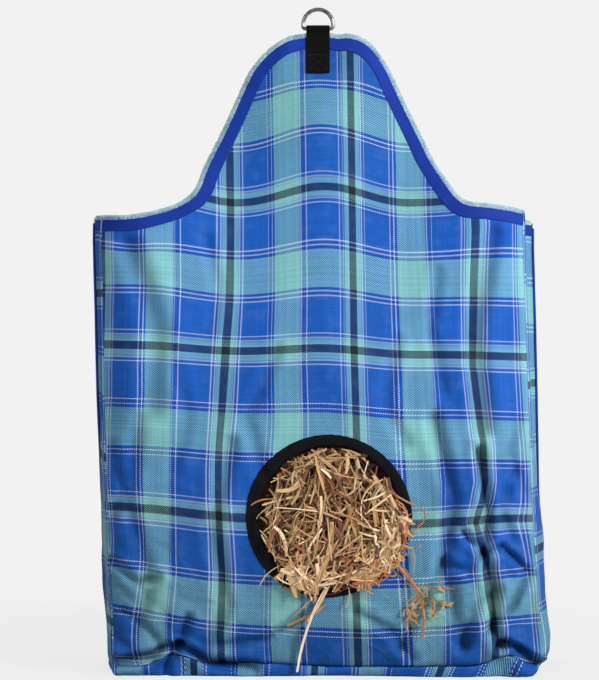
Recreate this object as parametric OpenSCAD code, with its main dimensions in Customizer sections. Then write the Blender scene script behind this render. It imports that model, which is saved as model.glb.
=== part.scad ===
// Gusseted hay bag in woven mesh: a front panel with a tall neck and a round feed hole, a back panel,
// two side gussets, a base, taped and overlocked mouth edges, a webbing tab and a D-ring.
// Origin: middle of the underside of the base. +Z up, the feed hole faces -Y.

/* [Bag] */
// Width of the front panel between its side seams
front_w = 536; // [430:1:680]
// Height of the mouth at the corners of the front panel
mouth_h = 592; // [480:1:740]
// Depth from the front side seams to the back panel
depth = 150; // [120:1:190]
// How far the filled front panel stands out in front of its side seams
bulge = 25; // [15:1:32]
// How far each gusset spreads outwards from front to back
splay = 24; // [10:1:40]
// Thickness of the woven mesh
mesh_t = 1.6; // [1.2:0.1:2.2]
// Width of the seam allowances
seam_w = 10; // [7:0.5:14]
// Height of the base panel's front lip, up to the bottom seam
lip_h = 13; // [8:1:20]

/* [Neck] */
// Height of the neck above the mouth corners
neck_rise = 231; // [180:1:290]
// Radius of the neck's crest
crest_r = 102; // [80:1:125]
// Width of each shoulder, from the side seam to the foot of the neck
shoulder_w = 103; // [85:1:125]
// Slope of the shoulders, falling outwards
shoulder_slope = 9.5; // [4:0.5:14]
// Radius of the curve between neck and shoulder
shoulder_r = 60; // [45:1:75]
// Gap left around the taped layers where the neck folds
fold_clear = 0.3; // [0.2:0.05:0.6]

/* [Edges] */
// Width of the overlocked edge that shows beyond the tape
overlock_w = 4; // [3:0.5:6]
// How far the overlock thread stands off each face of the mesh
overlock_t = 0.4; // [0.3:0.1:0.6]
// Width of the edge tape
tape_w = 15; // [12:0.5:20]
// Thickness of one layer of edge tape
tape_t = 0.7; // [0.5:0.1:0.9]

/* [Feed hole] */
// Clear radius of the feed hole
hole_r = 89; // [70:1:108]
// Height of the feed hole's centre
hole_z = 207; // [180:1:250]
// Width of the feed hole's binding
binding_w = 15; // [12:0.5:20]
// Thickness of one layer of the binding
binding_t = 1; // [0.7:0.1:1.3]

/* [Hanging tab and ring] */
// Width of the webbing tab
tab_w = 30; // [24:1:38]
// Thickness of the webbing
tab_t = 1.8; // [1.4:0.1:2.2]
// Height of the tab from its fold to its lower ends
tab_h = 61; // [50:1:76]
// Radius of the D-ring's wire
wire_r = 2.5; // [1.8:0.1:2.8]
// Centreline radius of the D-ring's lower corners
ring_corner_r = 3.5; // [3:0.1:5]
// Height of the D-ring's straight sides
ring_side = 2; // [0.5:0.5:6]
// Gap around the D-ring's bar in the webbing loop
ring_fit = 0.05; // [0.02:0.01:0.1]

/* [Hay] */
// Height of the hay in the bag
hay_h = 425; // [360:1:470]
// Gap between the hay and the mesh at the sides and the back
hay_gap = 5; // [3:1:10]
// Gap between the hay and the inside of the front panel
hay_front_gap = 16; // [12:1:24]
// Radius of the loose stems
stem_r = 1.5; // [1:0.1:2]

/* [Hidden] */

mesh_blue = [0.10, 0.27, 0.66];
mesh_teal = [0.36, 0.66, 0.74];
tape_blue = [0.08, 0.14, 0.60];
thread_teal = [0.62, 0.80, 0.84];
webbing_black = [0.03, 0.03, 0.035];
hay_straw = [0.76, 0.66, 0.45];

far = 2000;         // longer than anything in the bag, for cutting
arc_step = 5;       // degrees between the points of a drawn arc
edge_cover = 1;     // mesh edge hidden inside the overlock thread
fold_rise = 2;      // height of the fold above the foot of the neck's curve
flat_past_fold = 25; // how far the flat front runs past the ends of the fold

// Plan of the bag: a flat front that rounds back to the side seams, straight gussets and a flat back.
round_w = shoulder_w - flat_past_fold;
flat_x = front_w / 2 - round_w;
front_y = -depth / 2 - bulge;
back_y = depth / 2;
round_r = (round_w * round_w + bulge * bulge) / (2 * bulge);
round_end = asin(round_w / round_r);
lap_start = round_end - seam_w / round_r * 180 / PI;
rear_x = front_w / 2 + splay;
rear_edge_x = rear_x + seam_w;

// One point of the front panel's rounded right side, at an angle from straight ahead and an outward offset.
function round_point(a, off) =
    [flat_x + (round_r + off) * sin(a), front_y + round_r - (round_r + off) * cos(a)];
function steps(from, to) = [for (i = [0 : ceil(abs(to - from) / arc_step)])
    from + (to - from) * i / ceil(abs(to - from) / arc_step)];
function mirrored(points) = [for (i = [len(points) - 1 : -1 : 0]) [-points[i][0], points[i][1]]];
function backwards(points) = [for (i = [len(points) - 1 : -1 : 0]) points[i]];
// The seam lap starts at one of the rounded side's own points, so that the gusset lies flat against it.
lap_turns = steps(lap_start, round_end);
round_turns = concat(steps(0, lap_start), [for (i = [1 : len(lap_turns) - 1]) lap_turns[i]]);
function right_half(off) = [for (a = round_turns) round_point(a, off)];
function front_line(off) = concat(mirrored(right_half(off)), right_half(off));

// Gusset plan points on the right side: its two faces, where they leave the front seam and reach the back.
gusset_front_out = round_point(round_end, -mesh_t);
gusset_front_in = round_point(round_end, -2 * mesh_t);
gusset_rear_out = [rear_x, back_y - mesh_t];
gusset_rear_in = [rear_x - mesh_t, back_y];
gusset_dir = (gusset_rear_out - gusset_front_out) / norm(gusset_rear_out - gusset_front_out);
gusset_side = [gusset_dir[1], -gusset_dir[0]];

// Elevation of the front panel: crest circle, straight neck sides, a concave curve and sloping shoulders.
crest_z = mouth_h + neck_rise;
crest_c = [0, crest_z - crest_r];
neck_foot = [front_w / 2 - shoulder_w, mouth_h + shoulder_w * tan(shoulder_slope)];
foot_run = neck_foot - crest_c;
side_turn = atan2(foot_run[1], foot_run[0]) + acos(crest_r / norm(foot_run));
side_n = [cos(side_turn), sin(side_turn)];
shoulder_n = [sin(shoulder_slope), cos(shoulder_slope)];
// The concave curve's centre is its own radius outside both straight edges.
side_d = side_n * crest_c + crest_r + shoulder_r;
shoulder_d = shoulder_n * [front_w / 2, mouth_h] + shoulder_r;
cross_n = side_n[0] * shoulder_n[1] - side_n[1] * shoulder_n[0];
shoulder_c = [(side_d * shoulder_n[1] - shoulder_d * side_n[1]) / cross_n,
              (shoulder_d * side_n[0] - side_d * shoulder_n[0]) / cross_n];
// The neck folds about an axis just in front of the tape, so that it can lie back over the mouth
// or hang down the front: the bag side stops below the folded layers and the neck side just above the axis.
fold_y = front_y - tape_t - fold_clear;
fold_z = shoulder_c[1] - shoulder_r * cos(shoulder_slope) + fold_rise;
bag_top = fold_z - mesh_t - 2 * tape_t - 2 * fold_clear;
neck_low = fold_z + fold_clear;
mid_y = front_y + mesh_t / 2;

function around(centre, radius, from, to) =
    [for (a = steps(from, to)) centre + radius * [cos(a), sin(a)]];
function outline_right(inset) = concat(
    [[front_w / 2 + far / 4, 0]],
    [[front_w / 2 + far / 4, mouth_h - far / 4 * tan(shoulder_slope) - inset / cos(shoulder_slope)]],
    around(shoulder_c, shoulder_r + inset, 270 - shoulder_slope, 180 + side_turn),
    around(crest_c, crest_r - inset, side_turn, 90));

module outline(inset) {
    points = outline_right(inset);
    polygon(concat(points, mirrored(points)));
}

// A prism along Y of a shape drawn in the XZ plane.
module through_y() {
    translate([0, far / 2, 0]) rotate([90, 0, 0]) linear_extrude(far) children();
}

// The front panel's sheet between two outward offsets, from one height to another.
module front_sheet(outer, inner, low, high) {
    translate([0, 0, low]) linear_extrude(high - low)
        polygon(concat(front_line(outer), backwards(front_line(inner))));
}

module above(z) {
    translate([-far / 2, -far / 2, z]) cube([far, far, far]);
}

module below(z) {
    translate([-far / 2, -far / 2, z - far]) cube([far, far, far]);
}

// A band of the front outline between two insets, on the sheet between two offsets.
module edge_band(from, to, outer, inner) {
    intersection() {
        front_sheet(outer, inner, mouth_h / 2, crest_z + 1);
        through_y() difference() {
            outline(from);
            outline(to);
        }
    }
}

module mesh_core() {
    intersection() {
        front_sheet(0, -mesh_t, mouth_h / 2 - 1, crest_z + 2);
        through_y() outline(edge_cover);
    }
}

module edge_tape() {
    difference() {
        edge_band(overlock_w, overlock_w + tape_w, tape_t, -mesh_t - tape_t);
        mesh_core();
    }
}

module edge_overlock() {
    difference() {
        edge_band(0, overlock_w, overlock_t, -mesh_t - overlock_t);
        mesh_core();
    }
}

// The half of a shape on one side: 1 right, -1 left.
module half(side) {
    intersection() {
        children();
        translate([side > 0 ? 0 : -far, -far / 2, 0]) cube([far, far, far]);
    }
}

module front_panel() {
    color(mesh_blue) difference() {
        intersection() {
            front_sheet(0, -mesh_t, lip_h, bag_top);
            through_y() outline(edge_cover);
        }
        translate([0, front_y - 1, hole_z]) rotate([-90, 0, 0])
            cylinder(r = hole_r + 2 * binding_t, h = mesh_t + 2, $fn = 96);
    }
}

module neck_panel() {
    color(mesh_teal) intersection() {
        front_sheet(0, -mesh_t, neck_low, crest_z + 1);
        through_y() outline(edge_cover);
    }
}

module shoulder_tape(side) {
    color(tape_blue) intersection() {
        half(side) edge_tape();
        below(bag_top);
    }
}

module shoulder_overlock(side) {
    color(thread_teal) intersection() {
        half(side) edge_overlock();
        below(bag_top);
    }
}

module neck_tape() {
    color(tape_blue) intersection() {
        edge_tape();
        above(neck_low);
    }
}

module neck_overlock() {
    color(thread_teal) intersection() {
        edge_overlock();
        above(neck_low);
    }
}

// Right gusset: a seam allowance lapped inside the front panel, the side wall, and one on the back panel.
module gusset() {
    color(mesh_blue) {
        translate([0, 0, mesh_t]) linear_extrude(mouth_h - overlock_w - tape_w - seam_w - mesh_t)
            polygon(concat([for (a = lap_turns) round_point(a, -mesh_t)],
                           [for (a = backwards(lap_turns)) round_point(a, -2 * mesh_t)]));
        translate([0, 0, mesh_t]) linear_extrude(mouth_h - edge_cover - mesh_t)
            polygon([gusset_front_out, gusset_rear_out, gusset_rear_in, gusset_front_in]);
        translate([gusset_rear_in[0], back_y - mesh_t, mesh_t])
            cube([rear_edge_x - gusset_rear_in[0], mesh_t, mouth_h - overlock_w - tape_w - mesh_t]);
    }
}

// Both faces of the gusset's wall from one height to another, standing off by some thickness.
module gusset_cover(off, low, high) {
    start = gusset_front_out + gusset_dir * (2 * mesh_t);
    end = gusset_rear_out - gusset_dir * (2 * mesh_t);
    inward = -gusset_side * mesh_t;
    translate([0, 0, low]) linear_extrude(high - low)
        polygon([start + gusset_side * off, end + gusset_side * off,
                 end + inward - gusset_side * off, start + inward - gusset_side * off]);
}

module gusset_core() {
    linear_extrude(mouth_h - edge_cover)
        polygon([gusset_front_out, gusset_rear_out, gusset_rear_in, gusset_front_in]);
}

module gusset_tape() {
    color(tape_blue) difference() {
        gusset_cover(tape_t, mouth_h - overlock_w - tape_w, mouth_h - overlock_w);
        gusset_core();
    }
}

module gusset_overlock() {
    color(thread_teal) difference() {
        gusset_cover(overlock_t, mouth_h - overlock_w, mouth_h);
        gusset_core();
    }
}

module back_slab(x, off, low, high) {
    translate([-x, back_y - off, low]) cube([2 * x, mesh_t + 2 * off, high - low]);
}

module back_panel() {
    color(mesh_blue) back_slab(rear_edge_x, 0, mesh_t, mouth_h - edge_cover);
}

module back_tape() {
    color(tape_blue) difference() {
        back_slab(gusset_rear_in[0] - tape_t, tape_t, mouth_h - overlock_w - tape_w, mouth_h - overlock_w);
        back_slab(far / 2, 0, 0, mouth_h);
    }
}

module back_overlock() {
    color(thread_teal) difference() {
        back_slab(gusset_rear_in[0] - tape_t, overlock_t, mouth_h - overlock_w, mouth_h);
        back_slab(far / 2, 0, 0, mouth_h - edge_cover);
    }
}

// Tape folded over the edges of the gusset and the back panel where they meet.
module rear_seam_binding() {
    wrap = mesh_t + tape_t;
    color(tape_blue) difference() {
        translate([rear_x + 1, back_y - wrap, mesh_t])
            cube([seam_w - 1 + tape_t, 2 * wrap, mouth_h - overlock_w - tape_w - mesh_t]);
        translate([rear_x - seam_w, back_y - mesh_t, 0]) cube([2 * seam_w, 2 * mesh_t, far]);
    }
}

module base_panel() {
    color(mesh_blue) {
        linear_extrude(mesh_t) polygon(concat(front_line(0),
            [gusset_rear_out, [rear_edge_x, back_y - mesh_t], [rear_edge_x, back_y + mesh_t],
             [-rear_edge_x, back_y + mesh_t], [-rear_edge_x, back_y - mesh_t],
             [-gusset_rear_out[0], gusset_rear_out[1]]]));
        front_sheet(0, -mesh_t, 0, lip_h);
    }
}

// Tape folded over the raw edge of the feed hole, drawn as a U section turned about the hole's axis.
module feed_hole_binding() {
    outer = hole_r + binding_w;
    mesh_edge = hole_r + 2 * binding_t;
    color(webbing_black) translate([0, front_y, hole_z]) rotate([-90, 0, 0])
        rotate_extrude($fn = 96) polygon([
            [hole_r, -binding_t], [outer, -binding_t], [outer, 0], [mesh_edge, 0],
            [mesh_edge, mesh_t], [outer, mesh_t], [outer, mesh_t + binding_t], [hole_r, mesh_t + binding_t]]);
}

// One lock stitch, centred, lying on a face and standing out from it by thread_t.
stitch_l = 3;
stitch_w = 0.6;
thread_t = 0.4;

module stitch() {
    translate([-stitch_l / 2, -thread_t, -stitch_w / 2]) cube([stitch_l, thread_t, stitch_w]);
}

module feed_hole_stitching() {
    row_r = hole_r + binding_w - 3;
    count = floor(2 * PI * row_r / (stitch_l + 2));
    color(webbing_black) for (i = [0 : count - 1])
        translate([0, 0, hole_z]) rotate([0, i * 360 / count, 0]) translate([0, 0, row_r]) {
            translate([0, front_y - binding_t, 0]) stitch();
            translate([0, front_y + mesh_t + binding_t + thread_t, 0]) stitch();
        }
}

// Hanging tab: webbing folded round the ring's bar, with one leg on each face of the neck.
loop_r = wire_r + ring_fit + tab_t;
ring_z = crest_z + loop_r + 2;
leg_off = mesh_t / 2 + tape_t;
leg_low = ring_z + loop_r - tab_h;

module hanging_tab() {
    color(webbing_black) difference() {
        union() {
            translate([-tab_w / 2, mid_y, ring_z]) rotate([0, 90, 0])
                cylinder(r = loop_r, h = tab_w, $fn = 64);
            for (side = [-1, 1])
                translate([-tab_w / 2, mid_y + side * (leg_off + tab_t / 2) - tab_t / 2, leg_low])
                    cube([tab_w, tab_t, ring_z - leg_low]);
        }
        translate([-tab_w, mid_y, ring_z]) rotate([0, 90, 0])
            cylinder(r = wire_r + ring_fit, h = 2 * tab_w, $fn = 64);
    }
}

// A boxed cross of stitches on both legs of the tab.
module tab_stitching() {
    box_w = tab_w - 8;
    box_h = 18;
    middle = leg_low + 5 + box_h / 2;
    gap = stitch_l + 1.2;
    slant = atan2(box_h, box_w);
    across = floor(box_w / gap);
    up = floor(box_h / gap);
    corner_to_corner = norm([box_w, box_h]) - 3 * gap;
    slanted = floor(corner_to_corner / gap);
    color(webbing_black)
        for (y = [mid_y - leg_off - tab_t, mid_y + leg_off + tab_t + thread_t]) translate([0, y, middle]) {
            for (side = [-1, 1]) {
                for (i = [0 : across - 1])
                    translate([(i + 0.5 - across / 2) * box_w / across, 0, side * box_h / 2]) stitch();
                for (i = [0 : up - 1])
                    translate([side * box_w / 2, 0, (i + 0.5 - up / 2) * box_h / up])
                        rotate([0, 90, 0]) stitch();
                for (i = [0 : slanted - 1]) if (side > 0 || abs(i + 0.5 - slanted / 2) > 1)
                    rotate([0, side * slant, 0])
                        translate([(i + 0.5 - slanted / 2) * gap, 0, 0]) stitch();
            }
        }
}

// D-ring: a straight bar, two tight corners, short sides and a half-round bow, all of round wire.
module wire_arc(radius, turn) {
    rotate([90, 0, 0]) rotate_extrude(angle = turn, $fn = 96)
        translate([radius, 0]) circle(r = wire_r, $fn = 48);
}

module d_ring() {
    bar_half = tab_w / 2 + 0.5;
    bow_r = bar_half + ring_corner_r;
    bow_z = ring_corner_r + ring_side;
    color("silver") translate([0, mid_y, ring_z]) {
        rotate([0, 90, 0]) cylinder(r = wire_r, h = 2 * bar_half, center = true, $fn = 48);
        for (side = [0, 1]) mirror([side, 0, 0]) {
            translate([bar_half, 0, ring_corner_r]) mirror([0, 0, 1]) wire_arc(ring_corner_r, 90);
            translate([bow_r, 0, ring_corner_r]) cylinder(r = wire_r, h = ring_side, $fn = 48);
        }
        translate([0, 0, bow_z]) wire_arc(bow_r, 180);
    }
}

// The hay's own outer shape: it fills the bag between the walls, with a gently mounded top.
module hay_wad() {
    front = front_y + mesh_t + hay_front_gap;
    back = back_y - hay_gap;
    lean = splay / depth;
    front_x = gusset_front_in[0] - hay_gap - bulge / 2;
    back_x = gusset_rear_in[0] - hay_gap - hay_gap * lean;
    mound_r = 2.2 * front_w;
    color(hay_straw) intersection() {
        translate([0, 0, mesh_t]) linear_extrude(hay_h)
            polygon([[-front_x, front], [front_x, front], [back_x, back], [-back_x, back]]);
        translate([0, far / 2, hay_h - mound_r]) rotate([90, 0, 0]) cylinder(r = mound_r, h = far, $fn = 360);
    }
}

// Loose stems: each starts at the hay, leans out through the feed hole and hangs down over its rim.
// Points are X along the front and Z from the feed hole's centre. The first lies at the hay's face
// and the rest just in front of the binding.
stems = [
    [[14, -66], [17, -84], [8, -124], [-24, -186]],
    [[65, -40], [72, -50], [118, -88], [140, -106], [131, -150]],
    [[-6, -68], [-8, -85], [-38, -134]],
    [[68, -14], [84, -17], [116, -34], [130, -2]],
];
stem_gap = 1.5;
root_y = front_y + mesh_t + hay_front_gap - stem_r;
hang_y = front_y - binding_t - thread_t - stem_r - stem_gap;

// A straight length of stem with rounded ends.
module rod(from, to) {
    hull() {
        translate(from) sphere(r = stem_r, $fn = 10);
        translate(to) sphere(r = stem_r, $fn = 10);
    }
}

module loose_stems() {
    color(hay_straw) for (s = stems) for (i = [0 : len(s) - 2])
        rod([s[i][0], i == 0 ? root_y : hang_y, hole_z + s[i][1]],
            [s[i + 1][0], hang_y, hole_z + s[i + 1][1]]);
}

front_panel();
back_panel();
mirror([1, 0, 0]) gusset();  // left_gusset
gusset();  // right_gusset
base_panel();
feed_hole_binding();
feed_hole_stitching();
shoulder_tape(-1);  // left_shoulder_tape
shoulder_tape(1);  // right_shoulder_tape
mirror([1, 0, 0]) gusset_tape();  // left_gusset_tape
gusset_tape();  // right_gusset_tape
back_tape();
shoulder_overlock(-1);  // left_shoulder_overlock
shoulder_overlock(1);  // right_shoulder_overlock
mirror([1, 0, 0]) gusset_overlock();  // left_gusset_overlock
gusset_overlock();  // right_gusset_overlock
back_overlock();
mirror([1, 0, 0]) rear_seam_binding();  // left_rear_seam_binding
rear_seam_binding();  // right_rear_seam_binding
neck_panel();
neck_tape();
neck_overlock();
hanging_tab();
tab_stitching();
d_ring();
hay_wad();
loose_stems();
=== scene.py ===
"""Looks of a plaid mesh hay bag: sewn cloth, edge tapes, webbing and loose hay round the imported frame."""

from __future__ import annotations

import logging
import math
from dataclasses import dataclass, field
from enum import Enum
from typing import Callable, Iterable

import bpy
import numpy as np
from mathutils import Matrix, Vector, noise

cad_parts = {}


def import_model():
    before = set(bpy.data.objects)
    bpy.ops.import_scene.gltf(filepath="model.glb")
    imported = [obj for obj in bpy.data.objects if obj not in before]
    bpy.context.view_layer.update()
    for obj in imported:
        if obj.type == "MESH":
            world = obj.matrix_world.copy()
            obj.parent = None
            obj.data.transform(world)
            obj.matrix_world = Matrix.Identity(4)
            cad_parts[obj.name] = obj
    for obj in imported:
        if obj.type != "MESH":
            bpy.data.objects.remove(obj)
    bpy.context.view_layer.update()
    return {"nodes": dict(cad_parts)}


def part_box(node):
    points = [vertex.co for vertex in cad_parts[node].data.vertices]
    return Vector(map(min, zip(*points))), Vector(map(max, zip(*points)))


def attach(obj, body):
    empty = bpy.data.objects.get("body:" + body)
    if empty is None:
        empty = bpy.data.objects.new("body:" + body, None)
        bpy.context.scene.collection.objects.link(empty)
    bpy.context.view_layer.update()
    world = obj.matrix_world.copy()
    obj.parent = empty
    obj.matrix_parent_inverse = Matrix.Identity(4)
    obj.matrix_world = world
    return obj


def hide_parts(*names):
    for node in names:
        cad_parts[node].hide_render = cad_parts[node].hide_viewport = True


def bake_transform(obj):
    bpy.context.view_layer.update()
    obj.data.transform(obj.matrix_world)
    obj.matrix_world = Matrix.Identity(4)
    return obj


LOG = logging.getLogger("hay_bag")
MM = 0.001
Values = np.ndarray
Points = np.ndarray
Triple = tuple[float, float, float]
Piece = bpy.types.Object
Finish = bpy.types.Material
Socket = bpy.types.NodeSocket


class Slot(Enum):
    """The record's material slots."""

    PLAID = "plaid_mesh"
    TAPE = "edge_tape"
    OVERLOCK = "overlock_thread"
    WEBBING = "black_webbing"
    THREAD = "stitching_thread"
    WIRE = "ring_wire"
    HAY = "hay"


class Side(Enum):
    """Left and right as seen from the front, as the sign of X."""

    LEFT = -1
    RIGHT = 1


# ---- curves and fields


def smooth(low: float, high: float, value: Values | float) -> Values:
    """A smooth step from 0 at low to 1 at high.

    Args:
        low: value at which the step starts.
        high: value at which it ends.
        value: numbers to map.

    Returns:
        The mapped numbers.
    """
    t = np.clip((np.asarray(value, float) - low) / (high - low), 0, 1)
    return t * t * (3 - 2 * t)


def hump(centre: float, width: float, value: Values) -> Values:
    """A bell of height 1 about a centre; width is where it has fallen to about a third."""
    return np.exp(-(((value - centre) / width) ** 2))


def rough(points: Points, scale: Triple, seed: float) -> Values:
    """Smooth noise from about -1 to 1 at each point.

    Args:
        points: places, one row each.
        scale: cycles per metre along each axis.
        seed: shifts the pattern.

    Returns:
        One number per point.
    """
    shifted = points * np.array(scale) + seed * np.array([3.1, 7.7, 5.3])
    return np.array([noise.noise(Vector(p)) for p in shifted])


def spots(*coordinates: Values | float) -> Points:
    """Places, or UV pairs, from separate coordinates that are stretched to one shape."""
    return np.stack(np.broadcast_arrays(*coordinates), axis=-1)


def travelled(line: Points) -> Values:
    """Distance along a line at each of its points."""
    return np.concatenate([[0], np.cumsum(np.linalg.norm(np.diff(line, axis=0), axis=1))])


def unit(vectors: Points) -> Points:
    """Vectors of length 1 in the same directions."""
    return vectors / np.maximum(np.linalg.norm(vectors, axis=-1, keepdims=True), 1e-12)


@dataclass
class PlanCurve:
    """A curve in plan made of straight and round stretches, measured by its own length."""

    start: tuple[float, float]
    heading: float
    stretches: list[tuple[float, float]]

    def at(self, lengths: Values) -> tuple[Points, Points]:
        """Places and left-hand normals along the curve.

        Args:
            lengths: distances from the start.

        Returns:
            XY places, and the unit normals to the curve's left.
        """
        place = np.zeros((len(lengths), 2))
        turn = np.zeros(len(lengths))
        x, y, angle, done = self.start[0], self.start[1], self.heading, 0.0
        for number, (length, bend) in enumerate(self.stretches):
            last = number == len(self.stretches) - 1
            here = (lengths >= done - 1e-9) & ((lengths <= done + length) | last)
            run = lengths[here] - done
            if abs(bend) < 1e-9:
                place[here, 0] = x + run * math.cos(angle)
                place[here, 1] = y + run * math.sin(angle)
                turn[here] = angle
                x, y = x + length * math.cos(angle), y + length * math.sin(angle)
            else:
                radius = length / bend
                turn[here] = angle + run / radius
                place[here, 0] = x + radius * (np.sin(turn[here]) - math.sin(angle))
                place[here, 1] = y - radius * (np.cos(turn[here]) - math.cos(angle))
                x += radius * (math.sin(angle + bend) - math.sin(angle))
                y -= radius * (math.cos(angle + bend) - math.cos(angle))
                angle += bend
            done += length
        return place, np.stack([-np.sin(turn), np.cos(turn)], axis=1)


@dataclass
class BagShape:
    """The bag's sizes, read from the frame, and the way its filled cloth hangs."""

    crest_radius: float = 0.102
    shoulder_width: float = 0.103
    shoulder_slope: float = math.radians(9.5)
    shoulder_radius: float = 0.060
    flat_past_fold: float = 0.025
    seam_radius: float = 0.0022
    allowance: float = 0.007
    flange: float = 0.009
    flange_turn: float = math.radians(72)
    turn_in: float = math.radians(94)
    bend_radius: float = 0.004
    cloth: float = 0.0010
    back_lift: float = 0.0012
    left_fold: float = 0.024
    right_fold: float = 0.044
    seam_x: float = field(init=False)
    front_y: float = field(init=False)
    seam_y: float = field(init=False)
    back_y: float = field(init=False)
    rear_x: float = field(init=False)
    lip_z: float = field(init=False)
    mouth_z: float = field(init=False)
    fold_z: float = field(init=False)
    crest_z: float = field(init=False)
    hole: tuple[float, float] = field(init=False)
    hole_outer: float = field(init=False)
    flat_x: float = field(init=False)
    round_radius: float = field(init=False)
    round_turn: float = field(init=False)

    def __post_init__(self) -> None:
        """Reads the driving places from the frame's nodes."""
        front, neck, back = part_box("front_panel"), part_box("neck_overlock"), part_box("back_panel")
        ring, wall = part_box("feed_hole_binding"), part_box("right_gusset")
        self.seam_x, self.front_y = front[1][0], front[0][1]
        self.back_y = back[0][1]
        self.lip_z = front[0][2]
        self.mouth_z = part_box("right_gusset_overlock")[1][2]
        self.fold_z = (front[1][2] + neck[0][2]) / 2
        self.crest_z = neck[1][2]
        self.rear_x = wall[1][0] - 0.010
        self.hole = ((ring[0][0] + ring[1][0]) / 2, (ring[0][2] + ring[1][2]) / 2)
        self.hole_outer = (ring[1][0] - ring[0][0]) / 2
        bulge = -self.front_y - self.back_y
        width = self.shoulder_width - self.flat_past_fold
        self.flat_x = self.seam_x - width
        self.round_radius = (width**2 + bulge**2) / (2 * bulge)
        self.round_turn = math.asin(width / self.round_radius)
        self.seam_y = self.front_y + bulge

    # -- plan curves

    def front_half(self) -> PlanCurve:
        """The right half of the front cloth in plan: flat, rounded, then turned in at the seam."""
        return PlanCurve((0.0, self.front_y), 0.0, [
            (self.flat_x, 0.0),
            (self.round_radius * self.round_turn, self.round_turn),
            (self.seam_radius * self.turn_in, self.turn_in),
            (self.allowance, 0.0),
        ])

    def front_seam(self) -> float:
        """Distance along the front's plan curve from its middle to the side seam."""
        return self.flat_x + self.round_radius * self.round_turn

    def wall(self) -> PlanCurve:
        """The right gusset in plan: its seam allowance, the wall, and the flange at the rear seam.

        Returns:
            The curve, from the allowance's edge to the flange's.
        """
        run = np.array([self.rear_x - self.seam_x, self.back_y - self.seam_y])
        heading = math.atan2(run[1], run[0])
        inside = self.round_turn + self.turn_in + math.pi
        turn_out = heading - (inside - 2 * math.pi)
        first = heading - turn_out
        corner = (self.seam_radius * turn_out, turn_out)
        end, _ = PlanCurve((0, 0), first, [corner]).at(np.array([corner[0]]))
        lead = self.allowance * np.array([math.cos(first), math.sin(first)])
        start = np.array([self.seam_x, self.seam_y]) - end[0] - lead
        bend = self.flange_turn - heading
        return PlanCurve(tuple(start), first, [
            (self.allowance, 0.0),
            corner,
            (float(np.linalg.norm(run)), 0.0),
            (self.bend_radius * abs(bend), bend),
            (self.flange, 0.0),
        ])

    def back_half(self) -> PlanCurve:
        """The right half of the back cloth in plan: flat, then turned out along the rear flange."""
        return PlanCurve((0.0, self.back_y), 0.0, [
            (self.rear_x - 0.003, 0.0),
            (self.bend_radius * self.flange_turn, self.flange_turn),
            (self.flange, 0.0),
        ])

    def on_front(self, x: Values, z: Values, out: Values | float) -> Points:
        """Places on the unsettled front cloth.

        Args:
            x: distance to the right of the middle.
            z: height.
            out: distance in front of the cloth's outer face.

        Returns:
            One place per entry.
        """
        x, z = np.broadcast_arrays(np.asarray(x, float), np.asarray(z, float))
        reach = np.clip((np.abs(x) - self.flat_x) / self.round_radius, 0, math.sin(self.round_turn))
        angle = np.arcsin(reach)
        y = self.front_y + self.round_radius * (1 - np.cos(angle))
        return np.stack([x + np.sign(x) * np.sin(angle) * out, y - np.cos(angle) * out, z], axis=-1)

    # -- outline in elevation

    def outline(self, step: float) -> tuple[Points, Points]:
        """The front cloth's edge from the left seam over the crest to the right seam.

        Args:
            step: distance between points.

        Returns:
            XZ places and unit vectors pointing out of the cloth.
        """
        slope, crest_r, curve_r = self.shoulder_slope, self.crest_radius, self.shoulder_radius
        centre = np.array([0.0, self.crest_z - crest_r])
        foot = np.array([self.seam_x - self.shoulder_width,
                         self.mouth_z + self.shoulder_width * math.tan(slope)])
        run = foot - centre
        turn = math.atan2(run[1], run[0]) + math.acos(crest_r / np.linalg.norm(run))
        side_n = np.array([math.cos(turn), math.sin(turn)])
        shoulder_n = np.array([math.sin(slope), math.cos(slope)])
        sums = np.array([side_n @ centre + crest_r + curve_r,
                         shoulder_n @ np.array([self.seam_x, self.mouth_z]) + curve_r])
        hollow = np.linalg.solve(np.array([side_n, shoulder_n]), sums)

        def line(a: Values, b: Values, n: Values) -> tuple[Points, Points]:
            """A straight stretch's points and normals."""
            count = max(2, round(np.linalg.norm(b - a) / step))
            t = np.linspace(0, 1, count, endpoint=False)[:, None]
            return a + (b - a) * t, np.repeat(n[None], count, axis=0)

        def arc(c: Values, r: float, a: float, b: float, sign: int) -> tuple[Points, Points]:
            """A round stretch's points and normals."""
            count = max(3, round(abs(b - a) * r / step))
            t = np.linspace(a, b, count, endpoint=False)
            n = np.stack([np.cos(t), np.sin(t)], axis=1)
            return c + r * n, sign * n

        low = hollow - curve_r * shoulder_n
        high = hollow - curve_r * side_n
        crest = centre + crest_r * side_n
        corner = np.array([self.seam_x, self.mouth_z])
        parts = [
            line(corner, low, shoulder_n),
            arc(hollow, curve_r, 1.5 * math.pi - slope, math.pi + turn, -1),
            line(high, crest, side_n),
            arc(centre, crest_r, turn, math.pi / 2, 1),
        ]
        right = np.concatenate([p for p, _ in parts] + [np.array([[0.0, self.crest_z]])])
        normals = np.concatenate([n for _, n in parts] + [np.array([[0.0, 1.0]])])
        mirror = np.array([-1.0, 1.0])
        return (np.concatenate([right * mirror, right[-2::-1]]),
                np.concatenate([normals * mirror, normals[-2::-1]]))

    def top_height(self, x: Values, inset: float) -> Values:
        """Height of the front cloth's top edge.

        Args:
            x: distances to the right of the middle.
            inset: distance inside the finished edge.

        Returns:
            One height per x.
        """
        points, normals = self.outline(2 * MM)
        edge = points - normals * inset
        order = np.argsort(edge[:, 0])
        return np.interp(x, edge[order, 0], edge[order, 1])

    # -- how the cloth hangs

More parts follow.
